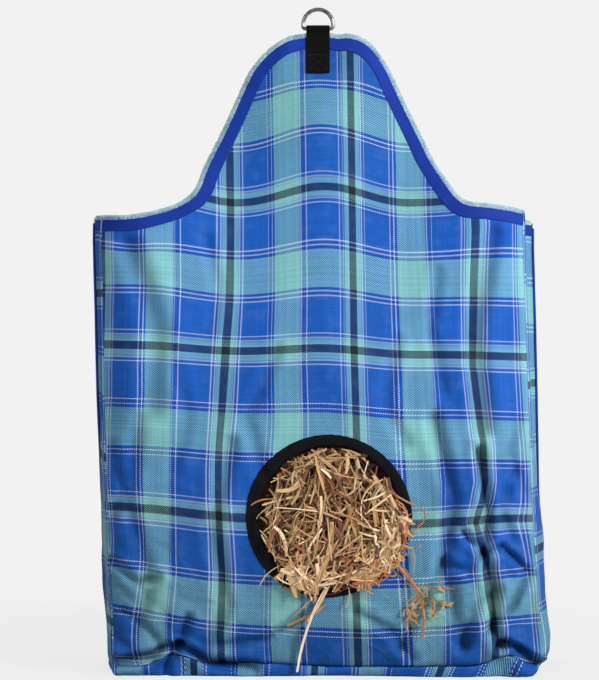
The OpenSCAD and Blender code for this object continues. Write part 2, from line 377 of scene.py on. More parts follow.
    def settle(self, points: Points) -> Points:
        """Moves points of the flat-sided bag to where the filled, hanging cloth lies.

        Every soft piece goes through this same field, so what is sewn together stays together.

        Args:
            points: places on or near the unsettled bag, in any array shape ending in 3.

        Returns:
            The settled places in the same shape.
        """
        shape = points.shape
        p = points.reshape(-1, 3)
        x, y, z = p[:, 0], p[:, 1], p[:, 2]
        side = np.sign(x)
        wide = np.abs(x)
        at_front = 1 - smooth(-0.088, -0.025, y)
        at_back = smooth(0.02, 0.07, y)
        at_side = smooth(0.21, 0.266, wide)
        held = smooth(0.745, 0.775, z) * (1 - smooth(0.018, 0.060, wide))
        free = 1 - held
        low = np.clip(1 - z / 0.055, 0, 1) ** 2

        out = self.stand_out(p)
        crumple = 0.0024 * rough(p, (11, 11, 8), 1.0) + 0.0013 * rough(p, (27, 27, 19), 2.0)
        crumple += 0.0006 * rough(p, (58, 58, 40), 3.0)
        out += crumple * (1 + 0.9 * (1 - smooth(0.1, 0.50, z))) * (1 - 0.4 * smooth(0.56, 0.66, z))
        depth = self.depth(y)
        dy = -out * at_front * free + 0.003 * low * at_front
        dy -= 0.015 * smooth(0.20, 0.26, wide) * (1 - smooth(0.0, 0.09, z)) * (1 - depth) * at_front
        dy += at_back * (0.007 * hump(0, 0.2, x) * hump(0.22, 0.2, z) + 1.5 * crumple - 0.007 * low)

        arch = np.sin(math.pi * depth)
        fold = (1 - np.abs(2 * depth - 1)) ** 1.3 * smooth(0.16, 0.54, z)
        fold = np.where(x > 0, self.right_fold, self.left_fold) * fold
        bow = 0.007 * arch * (1 - smooth(0.20, 0.45, z)) - fold
        bow += 0.003 * np.sin(2 * math.pi * depth + 5 * z) * smooth(0.1, 0.5, z) * arch
        dx = side * at_side * (bow + 1.6 * crumple * arch) + self.sway(x, y, z)
        dz = 0.004 * rough(p, (7, 7, 0), 4.0) * np.clip(1 - z / 0.07, 0, 1) * smooth(0.001, 0.012, z)
        buckle = 0.015 * hump(-0.187, 0.030, x) + 0.014 * hump(0.224, 0.024, x)
        buckle = buckle + 0.004 * hump(-0.06, 0.05, x)
        dz += buckle * smooth(0.0, 0.011, z) * (1 - smooth(0.015, 0.085, z)) * at_front
        left_rise = 0.007 * smooth(-0.24, -0.29, x) * depth * smooth(0.40, 0.58, z)
        dz += self.lift(x, z) * at_front + left_rise
        moved = np.stack([x + dx, y + dy, z + dz], axis=1)
        return moved.reshape(shape)

    def stand_out(self, p: Points) -> Values:
        """How far the front cloth stands in front of its flat place, apart from its crumples.

        Args:
            p: places, one row each.

        Returns:
            One distance per place.
        """
        x, z = p[:, 0], p[:, 2]
        wide = np.abs(x)
        swell = 0.005 * hump(0, 0.17, x) * hump(0.20, 0.16, z)
        slack = 0.006 * smooth(0.40, 0.50, z) * (1 - smooth(0.58, 0.68, z)) * hump(0, 0.2, x)
        folds = self.fold_depth(z) * self.fold_wave(x) * (1 - smooth(0.22, 0.27, wide))
        curl = 0.006 * np.clip(wide / 0.12, 0, 1.6) ** 2 * smooth(0.615, 0.70, z)
        foot = 0.010 * (1 - smooth(0.004, 0.080, z)) * (1 - smooth(0.02, 0.16, x)) * smooth(-0.27, -0.24, x)
        return swell - slack + folds - curl + self.creases(p) * 1.25 - foot

    def depth(self, y: Values) -> Values:
        """How far back each place lies, from 0 at the front seams to 1 at the back."""
        return np.clip((y - self.seam_y) / (self.back_y - self.seam_y), 0, 1)

    def sway(self, x: Values, y: Values, z: Values) -> Values:
        """Sideways shift of the hanging bag: its upright edges and its middle each lean their own way.

        Args:
            x: distance to the right of the middle.
            y: depth, the front being negative.
            z: height.

        Returns:
            Shifts along X.
        """
        levels = [0.002, 0.02, 0.045, 0.10, 0.23, 0.36, 0.56, 0.62, 0.72]
        edges = {
            (-1, 0): [0.006, 0.004, 0.003, 0.000, -0.006, -0.010, -0.013, -0.010, 0.0],
            (-1, 1): [0.018, 0.017, 0.014, 0.009, 0.001, -0.004, -0.009, -0.008, 0.0],
            (1, 0): [0.010, 0.025, 0.026, 0.018, 0.010, 0.006, -0.001, -0.002, 0.0],
            (1, 1): [0.000, 0.014, 0.015, 0.011, 0.007, 0.005, 0.000, -0.001, 0.0],
        }
        back = self.depth(y)
        at_edge = np.zeros_like(x)
        for sign in (-1, 1):
            front, rear = (np.interp(z, levels, edges[sign, end]) for end in (0, 1))
            at_edge = np.where(np.sign(x) == sign, front + (rear - front) * back, at_edge)
        reach = smooth(0.10, 1.0, np.abs(x) / (self.seam_x + (self.rear_x - self.seam_x) * back))
        middle = np.interp(z, [0, 0.10, 0.207, 0.33, 0.45, 0.60, 0.68, 0.76],
                           [0.004, 0.010, 0.018, 0.013, 0.008, 0.007, 0.003, 0.0])
        shoulder = 0.009 * hump(-0.16, 0.04, x) * hump(0.608, 0.03, z)
        shoulder = shoulder + 0.011 * hump(0.16, 0.045, x) * hump(0.628, 0.035, z)
        shoulder += 0.0045 * smooth(0.02, 0.07, x) * smooth(0.64, 0.69, z)
        return at_edge * reach + middle * (1 - reach) * (1 - 0.7 * back) + shoulder * (1 - back)

    @staticmethod
    def lift(x: Values, z: Values) -> Values:
        """How far the mouth's edge is pulled up or sags along the shoulders and the crest.

        Args:
            x: distance to the right of the middle.
            z: height.

        Returns:
            Shifts along Z.
        """
        shoulders = -0.0085 * hump(-0.220, 0.042, x) + 0.006 * smooth(0.155, 0.245, x)
        crest = 0.0015 * hump(-0.040, 0.020, x) + 0.0085 * hump(0.056, 0.026, x)
        crest *= smooth(0.020, 0.036, np.abs(x))
        return shoulders * smooth(0.50, 0.58, z) + crest * smooth(0.72, 0.80, z)

    @staticmethod
    def fold_wave(x: Values) -> Values:
        """The soft vertical folds that hang from the neck: 1 on a ridge and -1 in a hollow."""
        across = x - 0.002
        wave = np.cos(2 * math.pi * np.clip(across, -0.217, 0.1085) / 0.217)
        return wave + 0.4 * smooth(0.1085, 0.20, across)

    @staticmethod
    def fold_depth(z: Values) -> Values:
        """Depth of the soft vertical folds at each height."""
        return 0.0050 * smooth(0.12, 0.50, z) + 0.0030 * smooth(0.56, 0.70, z)

    @staticmethod
    def creases(p: Points) -> Values:
        """Sharper creases: fine random ones near the corners, and tucks where the cloth buckles.

        Args:
            p: places, one row each.

        Returns:
            Distances to the front, negative where the cloth is tucked in.
        """
        wide = np.abs(p[:, 0])
        corner = (1 - smooth(0.05, 0.36, p[:, 2])) * smooth(0.10, 0.22, wide)
        tilt = np.sign(p[:, 0]) * 0.9
        turned = np.stack([p[:, 0] - tilt * p[:, 2], p[:, 1], p[:, 2] + tilt * p[:, 0] * 0.5], axis=1)
        line = np.clip(1 - np.abs(rough(turned, (10, 4, 3.2), 6.0)) / 0.16, 0, 1) ** 2
        thin = np.clip(1 - np.abs(rough(turned, (19, 4, 6), 9.0)) / 0.13, 0, 1) ** 2
        total = -(0.0036 * line + 0.0022 * thin) * corner
        spot = p[:, [0, 2]] / MM
        for depth, width, path in TUCKS:
            near = np.full(len(p), 1e9)
            for a, b in zip(path[:-1], path[1:]):
                run = np.subtract(b, a)
                share = np.clip(((spot - a) @ run) / (run @ run), 0, 1)
                near = np.minimum(near, np.linalg.norm(spot - a - share[:, None] * run, axis=1))
            total -= depth * MM * (hump(0, width, near) - 0.35 * hump(2 * width, width, near))
        return total

    def rise(self, x: Values, z: Values) -> Values:
        """How far the plaid's cross lines are pulled up where the cloth hangs from the neck.

        Args:
            x: distance to the right of the middle.
            z: height.

        Returns:
            One height per entry.
        """
        height = np.interp(z, [0.0, 0.2, 0.42, 0.555, 0.61, 0.70, 0.757, 0.82],
                           [0.0005, 0.001, 0.003, 0.008, 0.010, 0.0115, 0.0085, 0.006])
        waves = self.waver(x, z, (6.5, 0, 4), 21.0, 0.007)
        left = np.interp(z, [0.03, 0.09, 0.15, 0.30, 0.42], [0.016, 0.019, 0.014, 0.006, 0.0])
        right = np.interp(z, [0.03, 0.09, 0.14, 0.19, 0.25], [0.014, 0.016, 0.011, 0.006, 0.0])
        corners = left * smooth(0.08, 0.27, -x) + right * smooth(0.14, 0.27, x)
        return height * self.fold_wave(x) + waves + corners - 0.005 * (x / 0.25) * (1 - smooth(0.45, 0.6, z))

    @staticmethod
    def waver(x: Values, z: Values, scale: Triple, seed: float, size: float) -> Values:
        """Slow random waves in the plaid's lines, over the lower half of the front.

        Args:
            x: distance to the right of the middle.
            z: height.
            scale: waves per metre along each axis.
            seed: shifts the pattern.
            size: the waves' size.

        Returns:
            One shift per entry.
        """
        waves = rough(spots(x, 0 * x, z).reshape(-1, 3), scale, seed).reshape(x.shape)
        return waves * size * (1 - smooth(0.25, 0.5, z))

    @staticmethod
    def drawn_in(x: Values, z: Values) -> Values:
        """How far small pleats draw the plaid's upright lines to the left, along a few of the lines.

        Args:
            x: distance to the right of the middle.
            z: height.

        Returns:
            One distance per entry.
        """
        levels = [0.07, 0.11, 0.137, 0.154, 0.177, 0.199, 0.222, 0.25, 0.30, 0.36, 0.40, 0.48, 0.57]
        lines = {
            -0.262: [-13, -17, -19, -21, -20, -17, -14, -11, -10, -8, -5, -2, 0],
            -0.235: [-15, -19, -21, -22, -20, -17, -14, -12, -11, -8, -5, -2, 0],
            -0.195: [-9, -10, -11, -10, -10, -10, -10, -10, -10, -7, -5, -2, 0],
            -0.125: [2, 3, 4, 5, 6, 7, 8, 8, 8, 6, 4, 1, 0],
            -0.070: [0] * len(levels),
            0.090: [0] * len(levels),
            0.134: [-13, -15, -15, -15, -15, -14, -14, -14, -13, -11, -9, -7, -5],
            0.190: [0, 7, 9, 6, 14, 20, 9, -1, 0, 7, 11, 5, 0],
            0.235: [0, 2, 6, 8, 13, 18, 12, 8, 4, 3, 3, -2, -7],
            0.275: [0] * len(levels),
        }
        at_level = np.array([np.interp(z, levels, shifts) for shifts in lines.values()]) * MM
        places = np.array(list(lines))
        after = np.clip(np.searchsorted(places, x), 1, len(places) - 1)
        share = np.clip((x - places[after - 1]) / (places[after] - places[after - 1]), 0, 1)
        left, right = (np.take_along_axis(at_level, line[None], axis=0)[0] for line in (after - 1, after))
        return left * (1 - share) + right * share

    def plaid_at(self, run: Values, x: Values, z: Values) -> Points:
        """The plaid's own coordinates on the front, in metres from a crossing of dark stripes.

        Args:
            run: distance along the cloth to the right of its middle.
            x: the same place's distance to the right of the bag's middle.
            z: height.

        Returns:
            UV pairs. The plaid is drawn together at the top, where the cloth is gathered.
        """
        y = np.full(x.shape, self.front_y)
        spread = np.interp(z, [0.05, 0.20, 0.35, 0.50, 0.60], [1.12, 1.09, 1.05, 1.01, 1.0])
        middle = 0.0405 + 0.0145 * (0.80 - z)
        waves = self.waver(x, z, (5, 0, 8), 23.0, 0.005)
        across = run + self.sway(x, y, z)
        across += 0.085 * np.maximum(0.0, -0.11 - across)
        across += self.drawn_in(x, z)
        u = (across - middle + waves) / spread
        v = np.interp(z - self.rise(x, z), [-0.014, 0.2018, 0.4176, 0.6174, 0.7496, 0.85],
                      [-0.2116, 0.0, 0.2116, 0.4232, 0.5602, 0.664])
        return np.stack([u, v], axis=-1)


TUCKS: list[tuple[float, float, list[tuple[float, float]]]] = [
    (9.0, 6.5, [(196, 290), (206, 215), (198, 158), (211, 112), (202, 62), (214, 30)]),
    (7.0, 4.5, [(172, 186), (198, 158), (222, 168), (250, 138)]),
    (7.0, 5.5, [(202, 62), (232, 92), (256, 132)]),
    (13.0, 6.0, [(212, 34), (234, 25), (268, 13)]),
    (6.0, 9.0, [(138, 330), (160, 230), (146, 150), (168, 40)]),
    (5.0, 6.0, [(146, 150), (122, 96), (96, 40)]),
    (5.0, 6.0, [(211, 112), (180, 84), (168, 40)]),
    (11.0, 6.0, [(-268, 19), (-206, 25), (-180, 30), (-148, 17), (-86, 11)]),
    (8.0, 4.5, [(-180, 29), (-200, 6)]),
    (6.0, 6.0, [(-170, 76), (-182, 30)]),
    (3.5, 8.0, [(-222, 330), (-238, 220), (-214, 120), (-234, 60)]),
    (4.5, 7.5, [(-118, 300), (-142, 190), (-122, 90), (-148, 34)]),
    (5.0, 12.0, [(-230, 560), (-196, 440), (-206, 340)]),
    (6.0, 12.0, [(224, 560), (196, 440), (204, 320)]),
    (3.0, 7.0, [(-60, 420), (-98, 330), (-84, 262)]),
    (3.0, 8.0, [(92, 430), (76, 350), (98, 300)]),
    (4.0, 6.0, [(-30, 80), (-72, 46), (-130, 40)]),
    (4.0, 6.0, [(40, 84), (84, 60), (110, 24)]),
    (5.0, 5.0, [(-262, 150), (-232, 120), (-206, 128)]),
    (4.0, 5.0, [(-250, 84), (-222, 64), (-206, 30)]),
    (4.0, 6.0, [(244, 262), (222, 214), (236, 176)]),
    (4.5, 5.0, [(150, 146), (176, 136), (198, 158)]),
    (3.0, 6.0, [(252, 330), (238, 290), (256, 236)]),
    (3.0, 6.0, [(-256, 300), (-246, 240), (-262, 190)]),
    (2.5, 7.0, [(-176, 400), (-166, 330), (-182, 262)]),
    (2.5, 7.0, [(150, 520), (138, 440), (152, 370)]),
    (2.5, 6.0, [(-140, 560), (-128, 500), (-138, 430)]),
]
"""Tucks of the front cloth: depth, width and path, in millimetres from the ring's line and the floor."""


# ---- mesh helpers


def new_piece(name: str, verts: Points, faces: Values | list, uv: Values | None = None,
              tone: Values | None = None) -> Piece:
    """A new mesh object at the origin.

    Args:
        name: the piece's name.
        verts: vertex places.
        faces: vertex numbers of each face.
        uv: one UV pair per vertex, in metres along the cloth.
        tone: one number per vertex, stored as the attribute "tone".

    Returns:
        The object.
    """
    mesh = bpy.data.meshes.new(name)
    mesh.from_pydata(np.asarray(verts).reshape(-1, 3).tolist(), [],
                     faces.tolist() if isinstance(faces, np.ndarray) else faces)
    if uv is not None:
        corners = np.empty(len(mesh.loops), int)
        mesh.loops.foreach_get("vertex_index", corners)
        mesh.uv_layers.new(name="cloth").data.foreach_set("uv", uv.reshape(-1, 2)[corners].ravel())
    if tone is not None:
        set_tone(mesh, tone)
    mesh.shade_smooth()
    obj = bpy.data.objects.new(name, mesh)
    bpy.context.collection.objects.link(obj)
    return obj


def set_tone(mesh: bpy.types.Mesh, tone: Values) -> None:
    """Stores one number per vertex as the attribute "tone"."""
    layer = mesh.attributes.new("tone", "FLOAT", "POINT")
    layer.data.foreach_set("value", tone.ravel().astype(np.float32))


def grid_faces(rows: int, cols: int, close_rows: bool = False, close_cols: bool = False) -> Values:
    """Quads of a grid of vertices numbered row by row.

    Args:
        rows: rows of vertices.
        cols: vertices in a row.
        close_rows: also join the last row to the first.
        close_cols: also join the last column to the first.

    Returns:
        An array of four vertex numbers per face.
    """
    r = np.arange(rows if close_rows else rows - 1)[:, None]
    c = np.arange(cols if close_cols else cols - 1)[None]
    up, across = (r + 1) % rows, (c + 1) % cols
    quad = [r * cols + c, r * cols + across, up * cols + across, up * cols + c]
    return np.stack([np.broadcast_to(q, (len(r), c.shape[1])) for q in quad], axis=-1).reshape(-1, 4)


def tube_faces(count: int, rings: int, sides: int) -> Values:
    """Quads of many tubes, numbered one after the other; a four-sided tube also has flat ends.

    Args:
        count: how many tubes.
        rings: rings of vertices along each.
        sides: vertices round each ring.

    Returns:
        An array of four vertex numbers per face.
    """
    one = np.array(capped_faces(rings, sides)) if sides == 4 else grid_faces(rings, sides, close_cols=True)
    return (one[None] + (np.arange(count) * rings * sides)[:, None, None]).reshape(-1, 4)


def capped_faces(rings: int, sides: int) -> list[list[int]]:
    """Faces of one closed tube.

    Args:
        rings: rings of vertices along it.
        sides: vertices round each ring.

    Returns:
        Its quads, then one face over each end.
    """
    last = (rings - 1) * sides
    ends = [list(range(sides))[::-1], list(range(last, last + sides))]
    return grid_faces(rings, sides, close_cols=True).tolist() + ends


def joined(parts: list[tuple[Points, Values]]) -> tuple[Points, Values]:
    """Several meshes as one.

    Args:
        parts: the vertices and faces of each.

    Returns:
        All the vertices, and all the faces with their numbers shifted to suit.
    """
    starts = np.cumsum([0] + [len(verts) for verts, _ in parts])
    faces = [numbers + start for (_, numbers), start in zip(parts, starts)]
    return np.concatenate([verts for verts, _ in parts]), np.concatenate(faces)


def only(obj: Piece) -> None:
    """Selects one object alone and makes it active."""
    bpy.ops.object.select_all(action="DESELECT")
    bpy.context.view_layer.objects.active = obj
    obj.select_set(True)


def thicken(obj: Piece, thickness: float) -> Piece:
    """Gives a sheet its thickness, half on each face, with closed rims.

    Args:
        obj: the sheet.
        thickness: its thickness.

    Returns:
        The same object.
    """
    only(obj)
    modifier = obj.modifiers.new("thickness", "SOLIDIFY")
    modifier.thickness, modifier.offset = thickness, 0
    bpy.ops.object.modifier_apply(modifier=modifier.name)
    obj.data.shade_smooth()
    return obj


def dress(obj: Piece, material: Finish, slot: Slot) -> Piece:
    """Gives a piece its material and logs the name of the record's slot that it takes its finish from.

    Args:
        obj: the piece.
        material: its material.
        slot: the slot.

    Returns:
        The same object.
    """
    obj.data.materials.clear()
    obj.data.materials.append(material)
    LOG.info("%s: %d faces, %s", obj.name, len(obj.data.polygons), slot.value)
    return obj


@dataclass(frozen=True)
class Stitch:
    """One lock stitch: a short, low, rounded thread."""

    length: float = 0.0028
    width: float = 0.0007
    height: float = 0.0004

    def template(self) -> tuple[Points, list[list[int]]]:
        """One stitch.

        Returns:
            Vertices along (run, across, up), and faces.
        """
        rings = [(-0.5, 0.35), (-0.3, 1.0), (0.3, 1.0), (0.5, 0.35)]
        around = [(1, 0.15), (0.6, 1), (-0.6, 1), (-1, 0.15)]
        verts = [(a * self.length, w * k * self.width / 2, h * k * self.height)
                 for a, k in rings for w, h in around]
        corners = [r * 4 + i for r in range(3) for i in range(3)]
        faces = [[c, c + 1, c + 5, c + 4] for c in corners]
        faces += [[3, 2, 1, 0], [12, 13, 14, 15]]
        faces += [[r * 4 + 3, r * 4, r * 4 + 4, r * 4 + 7] for r in range(3)]
        return np.array(verts), faces

    def row(self, places: Points, runs: Points, ups: Points) -> tuple[Points, Values]:
        """Copies of the stitch at many places.

        Args:
            places: the middle of each stitch, on the cloth's face.
            runs: direction of each stitch's thread.
            ups: direction away from the cloth.

        Returns:
            Vertices and faces of all of them.
        """
        verts, faces = self.template()
        run, up = unit(runs), unit(ups)
        across = unit(np.cross(up, run))
        up = np.cross(run, across)
        placed = places[:, None] + verts[None, :, :1] * run[:, None]
        placed = placed + verts[None, :, 1:2] * across[:, None] + verts[None, :, 2:] * up[:, None]
        numbers = np.array(faces)[None] + (np.arange(len(places)) * len(verts))[:, None, None]
        return placed.reshape(-1, 3), numbers.reshape(-1, 4)


# ---- finishes


class Nodes:
    """A material's node tree, with short calls for the nodes that the finishes use."""

    def __init__(self, name: str) -> None:
        """Starts a material with one Principled shader and its output."""
        self.material = bpy.data.materials.new(name)
        self.material.use_nodes = True
        self.tree = self.material.node_tree
        self.shader = self.tree.nodes["Principled BSDF"]

    def link(self, value: object, socket: Socket) -> None:
        """Links an output to a socket, or sets the socket to a plain value.

        Args:
            value: an output or a value.
            socket: the input that takes it.
        """
        if isinstance(value, Socket):
            self.tree.links.new(value, socket)
        else:
            socket.default_value = value

    def math(self, operation: str, a: object, b: object = 0.0, c: object = 0.0) -> Socket:
        """A Math node.

        Args:
            operation: its operation.
            a: first value or socket.
            b: second.
            c: third.

        Returns:
            Its result.
        """
        node = self.tree.nodes.new("ShaderNodeMath")
        node.operation = operation
        for value, socket in zip((a, b, c), node.inputs):
            self.link(value, socket)
        return node.outputs[0]

    def uv(self) -> tuple[Socket, Socket, Socket]:
        """The piece's own coordinates.

        Returns:
            The first, the second, and both as a vector.
        """
        node = self.tree.nodes.new("ShaderNodeUVMap")
        node.uv_map = "cloth"
        split = self.tree.nodes.new("ShaderNodeSeparateXYZ")
        self.link(node.outputs[0], split.inputs[0])
        return split.outputs[0], split.outputs[1], node.outputs[0]

    def place(self) -> Socket:
        """Object coordinates."""
        return self.tree.nodes.new("ShaderNodeTexCoord").outputs["Object"]

    def noise(self, vector: object, scale: float, detail: float = 2.0) -> Socket:
        """A noise texture.

        Args:
            vector: where it is read.
            scale: its scale.
            detail: its finer layers.

        Returns:
            Its value, from 0 to 1.
        """
        node = self.tree.nodes.new("ShaderNodeTexNoise")
        node.inputs["Scale"].default_value = scale
        node.inputs["Detail"].default_value = detail
        self.link(vector, node.inputs["Vector"])
        return node.outputs["Fac"]

    def attribute(self, name: str) -> Socket:
        """The value of one of the piece's attributes."""
        node = self.tree.nodes.new("ShaderNodeAttribute")
        node.attribute_name = name
        return node.outputs["Fac"]

    def speckle(self, number: object) -> Socket:
        """A random value from 0 to 1 for each whole number."""
        node = self.tree.nodes.new("ShaderNodeTexWhiteNoise")
        node.noise_dimensions = "1D"
        self.link(number, node.inputs["W"])
        return node.outputs["Value"]

    def ramp(self, value: object, stops: list[tuple[float, Triple]], steps: bool = False) -> Socket:
        """A colour ramp.

        Args:
            value: what picks the colour.
            stops: positions and colours.
            steps: keeps each colour up to the next stop, in place of blending.

        Returns:
            The colour.
        """
        node = self.tree.nodes.new("ShaderNodeValToRGB")
        ramp = node.color_ramp
        ramp.interpolation = "CONSTANT" if steps else "LINEAR"
        while len(ramp.elements) > 1:
            ramp.elements.remove(ramp.elements[-1])
        ramp.elements[0].position = stops[0][0]
        ramp.elements[0].color = (*stops[0][1], 1)
        for position, colour in stops[1:]:
            ramp.elements.new(min(position, 1.0)).color = (*colour, 1)
        self.link(value, node.inputs[0])
        return node.outputs[0]

    def mix(self, factor: object, a: object, b: object, blend: str = "MIX") -> Socket:
        """Two colours mixed.

        Args:
            factor: share of the second.
            a: first colour.
            b: second colour.
            blend: how they are blended.

        Returns:
            The mixed colour.
        """
        node = self.tree.nodes.new("ShaderNodeMix")
        node.data_type, node.blend_type = "RGBA", blend
        self.link(factor, node.inputs[0])
        for value, socket in ((a, node.inputs[6]), (b, node.inputs[7])):
            self.link((*value, 1) if isinstance(value, tuple) else value, socket)
        return node.outputs[2]

    def bright(self, colour: object, amount: object) -> Socket:
        """A colour times a number.

        Args:
            colour: the colour.
            amount: the number.

        Returns:
            The product.
        """
        node = self.tree.nodes.new("ShaderNodeVectorMath")
        node.operation = "SCALE"
        self.link(colour, node.inputs[0])
        self.link(amount, node.inputs["Scale"])
        return node.outputs[0]

    def bump(self, height: object, distance: float, strength: float) -> None:
        """Relief from a height.

        Args:
            height: from 0 to 1.
            distance: metres for a height of 1.
            strength: the relief's strength.
        """
        node = self.tree.nodes.new("ShaderNodeBump")
        node.inputs["Distance"].default_value = distance
        node.inputs["Strength"].default_value = strength
        self.link(height, node.inputs["Height"])
        self.link(node.outputs[0], self.shader.inputs["Normal"])

    def finish(self, colour: object, roughness: object, metallic: float = 0.0,
               specular: float = 0.5) -> Finish:
        """Sets the shader's main sockets.

        Args:
            colour: base colour.
            roughness: from 0 to 1.
            metallic: 1 for metal.
            specular: specular level.

        Returns:
            The material.
        """
        self.link((*colour, 1) if isinstance(colour, tuple) else colour, self.shader.inputs["Base Color"])
        self.link(roughness, self.shader.inputs["Roughness"])
        self.shader.inputs["Metallic"].default_value = metallic
        self.shader.inputs["Specular IOR Level"].default_value = specular
        return self.material


@dataclass(frozen=True)
class Stripe:
    """One stripe of a plaid sett: where it starts, in millimetres, and its yarn."""

    start: float
    yarn: Triple


@dataclass(frozen=True)
class PlaidMesh:
    """Coated mesh woven as a fine twill from dyed yarns, in a plaid sett."""

    pitch: float = 0.0007
    blue: Triple = (0.009, 0.100, 0.480)
    deep: Triple = (0.006, 0.055, 0.400)
    aqua: Triple = (0.215, 0.520, 0.560)
    dark: Triple = (0.010, 0.018, 0.036)
    white: Triple = (0.500, 0.620, 0.840)

    def across(self) -> tuple[float, str, list[Stripe]]:
        """The stripes that run up the cloth.

        Returns:
            Their repeat, how it repeats, and the stripes.
        """
        blue, deep, aqua, white = self.blue, self.deep, self.aqua, self.white
        return 155.2, "MODULO", [Stripe(*stripe) for stripe in (
            (0, self.dark), (4.4, aqua), (10, deep), (10.8, white), (12.2, blue), (14.8, white), (16.2, blue),
            (47.4, white), (48.8, deep), (52.2, white), (53.6, deep), (56, aqua), (88, deep), (89.4, white),
            (90.8, deep), (96.2, white), (97.6, blue), (138.2, white), (139.6, blue), (142.6, white),
            (144.2, deep), (145.2, aqua), (150.8, self.dark))]

    def along(self) -> tuple[float, str, list[Stripe]]:
        """The stripes that run across the cloth, mirrored about each end of half a repeat.

        Returns:
            Half their repeat, how it repeats, and the stripes.
        """
        blue, deep, aqua, white = self.blue, self.deep, self.aqua, self.white
        return 105.8, "PINGPONG", [Stripe(*stripe) for stripe in (
            (0, self.dark), (5.2, aqua), (12.4, deep), (13.6, white), (15, blue), (19.2, white), (20.6, blue),
            (68.6, white), (70, deep), (74.8, white), (76.2, deep), (80.4, aqua))]

    def yarns(self, n: Nodes, number: object, sett: tuple[float, str, list[Stripe]]) -> tuple[Socket, Socket]:
        """The yarns of one direction.

        Args:
            n: the material's nodes.
            number: each yarn's number.
            sett: the repeat, how it repeats, and the stripes.

        Returns:
            Each yarn's colour, and whether it belongs to a dark stripe.
        """
        repeat, way, stripes = sett
        place = n.math("MULTIPLY", n.math("ADD", number, 0.5), self.pitch / MM)
        if way == "MODULO":
            whole = n.math("FLOOR", n.math("DIVIDE", place, repeat))
            place = n.math("SUBTRACT", place, n.math("MULTIPLY", whole, repeat))
        else:
            place = n.math("PINGPONG", place, repeat)
        stops = [(stripe.start / repeat, stripe.yarn) for stripe in stripes]
        colour = n.ramp(n.math("DIVIDE", place, repeat), stops, steps=True)
        dark = n.math("LESS_THAN", place, stripes[1].start)
        if way == "MODULO":
            dark = n.math("ADD", dark, n.math("GREATER_THAN", place, stripes[-1].start))
        return n.bright(colour, n.math("MULTIPLY_ADD", n.speckle(number), 0.36, 0.82)), dark

    def material(self) -> Finish:
        """The cloth's material, which reads the piece's own UV map in metres.

        Returns:
            The material.
        """
        n = Nodes("plaid_mesh_cloth")
        u, v, uv = n.uv()
        warp_place, weft_place = n.math("DIVIDE", u, self.pitch), n.math("DIVIDE", v, self.pitch)
        warp, weft = n.math("FLOOR", warp_place), n.math("FLOOR", weft_place)
        warp_colour, warp_dark = self.yarns(n, warp, self.across())
        weft_colour, weft_dark = self.yarns(n, weft, self.along())
        diagonal = n.math("FRACT", n.math("MULTIPLY_ADD", n.math("SUBTRACT", warp, weft), 0.25, 0.02))
        floats = n.math("MULTIPLY_ADD", weft_dark, -0.3, n.math("MULTIPLY_ADD", warp_dark, 0.22, 0.5))
        colour = n.mix(n.math("LESS_THAN", diagonal, floats), weft_colour, warp_colour)
        across_yarn = [n.math("MULTIPLY_ADD", n.math("FRACT", place), 2.0, -1.0)
                       for place in (warp_place, weft_place)]
        crown = [n.math("SUBTRACT", 1.0, n.math("POWER", place, 2.0)) for place in across_yarn]
        relief = n.math("MULTIPLY", n.math("POWER", crown[0], 0.6), n.math("POWER", crown[1], 0.6))
        mottle_and_crease_shade = n.math("MULTIPLY_ADD", n.noise(uv, 9.0, 3.0), 0.36, 0.82)
        # Painted shade: the colour is darkened and greyed by height along the cloth, most towards the bottom
        # of the bag and a little at the top of the neck.
        painted_height_shade = n.ramp(n.math("ADD", v, 0.2), [
            (0.03, (0.80, 0.76, 0.66)), (0.20, (0.90, 0.87, 0.82)), (0.42, (1.0, 1.0, 0.97)),
            (0.58, (1.0, 1.0, 1.0)), (0.68, (1.0, 1.02, 0.96)), (0.85, (0.84, 0.86, 0.78))])
        colour = n.mix(1.0, colour, painted_height_shade, "MULTIPLY")
        # Painted shade: the tone attribute darkens the front cloth along its creases; the noise before it is
        # random mottling.
        mottle_and_crease_shade = n.math("MULTIPLY", mottle_and_crease_shade, n.math("MULTIPLY_ADD", n.attribute("tone"), -0.45, 1.0))
        # Painted shade: the colour is lighter on each yarn's crown and darker at its edges and in the gaps
        # between yarns.
        light = n.math("MULTIPLY", mottle_and_crease_shade, n.math("MULTIPLY_ADD", relief, 0.42, 0.76))
        dust = n.math("MULTIPLY", n.math("SUBTRACT", n.noise(uv, 55.0, 4.0), 0.50), 0.35)
        dusty = n.mix(n.math("MAXIMUM", dust, 0.0), n.bright(colour, light), (0.25, 0.38, 0.60))
        lower = n.math("MULTIPLY", n.math("SUBTRACT", 0.16, v), 3.2)
        lower = n.math("MINIMUM", n.math("MAXIMUM", lower, 0.15), 1.0)
        fine = n.math("MULTIPLY", self.wrinkle(n, uv, 34.0), 0.45)
        wrinkles = n.math("ADD", self.wrinkle(n, uv, 15.0), fine)
        n.bump(n.math("MULTIPLY_ADD", n.math("MULTIPLY", wrinkles, lower), 6.5, relief), 0.0003, 0.5)
        return n.finish(dusty, n.math("MULTIPLY_ADD", relief, -0.10, 0.62), specular=0.12)

    @staticmethod
    def wrinkle(n: Nodes, uv: Socket, scale: float) -> Socket:
        """Thin branching crease lines, 1 on each line and 0 between them."""
        away = n.math("ABSOLUTE", n.math("SUBTRACT", n.noise(uv, scale, 2.0), 0.5))
        return n.math("MAXIMUM", n.math("MULTIPLY_ADD", away, -16.0, 1.0), 0.0)


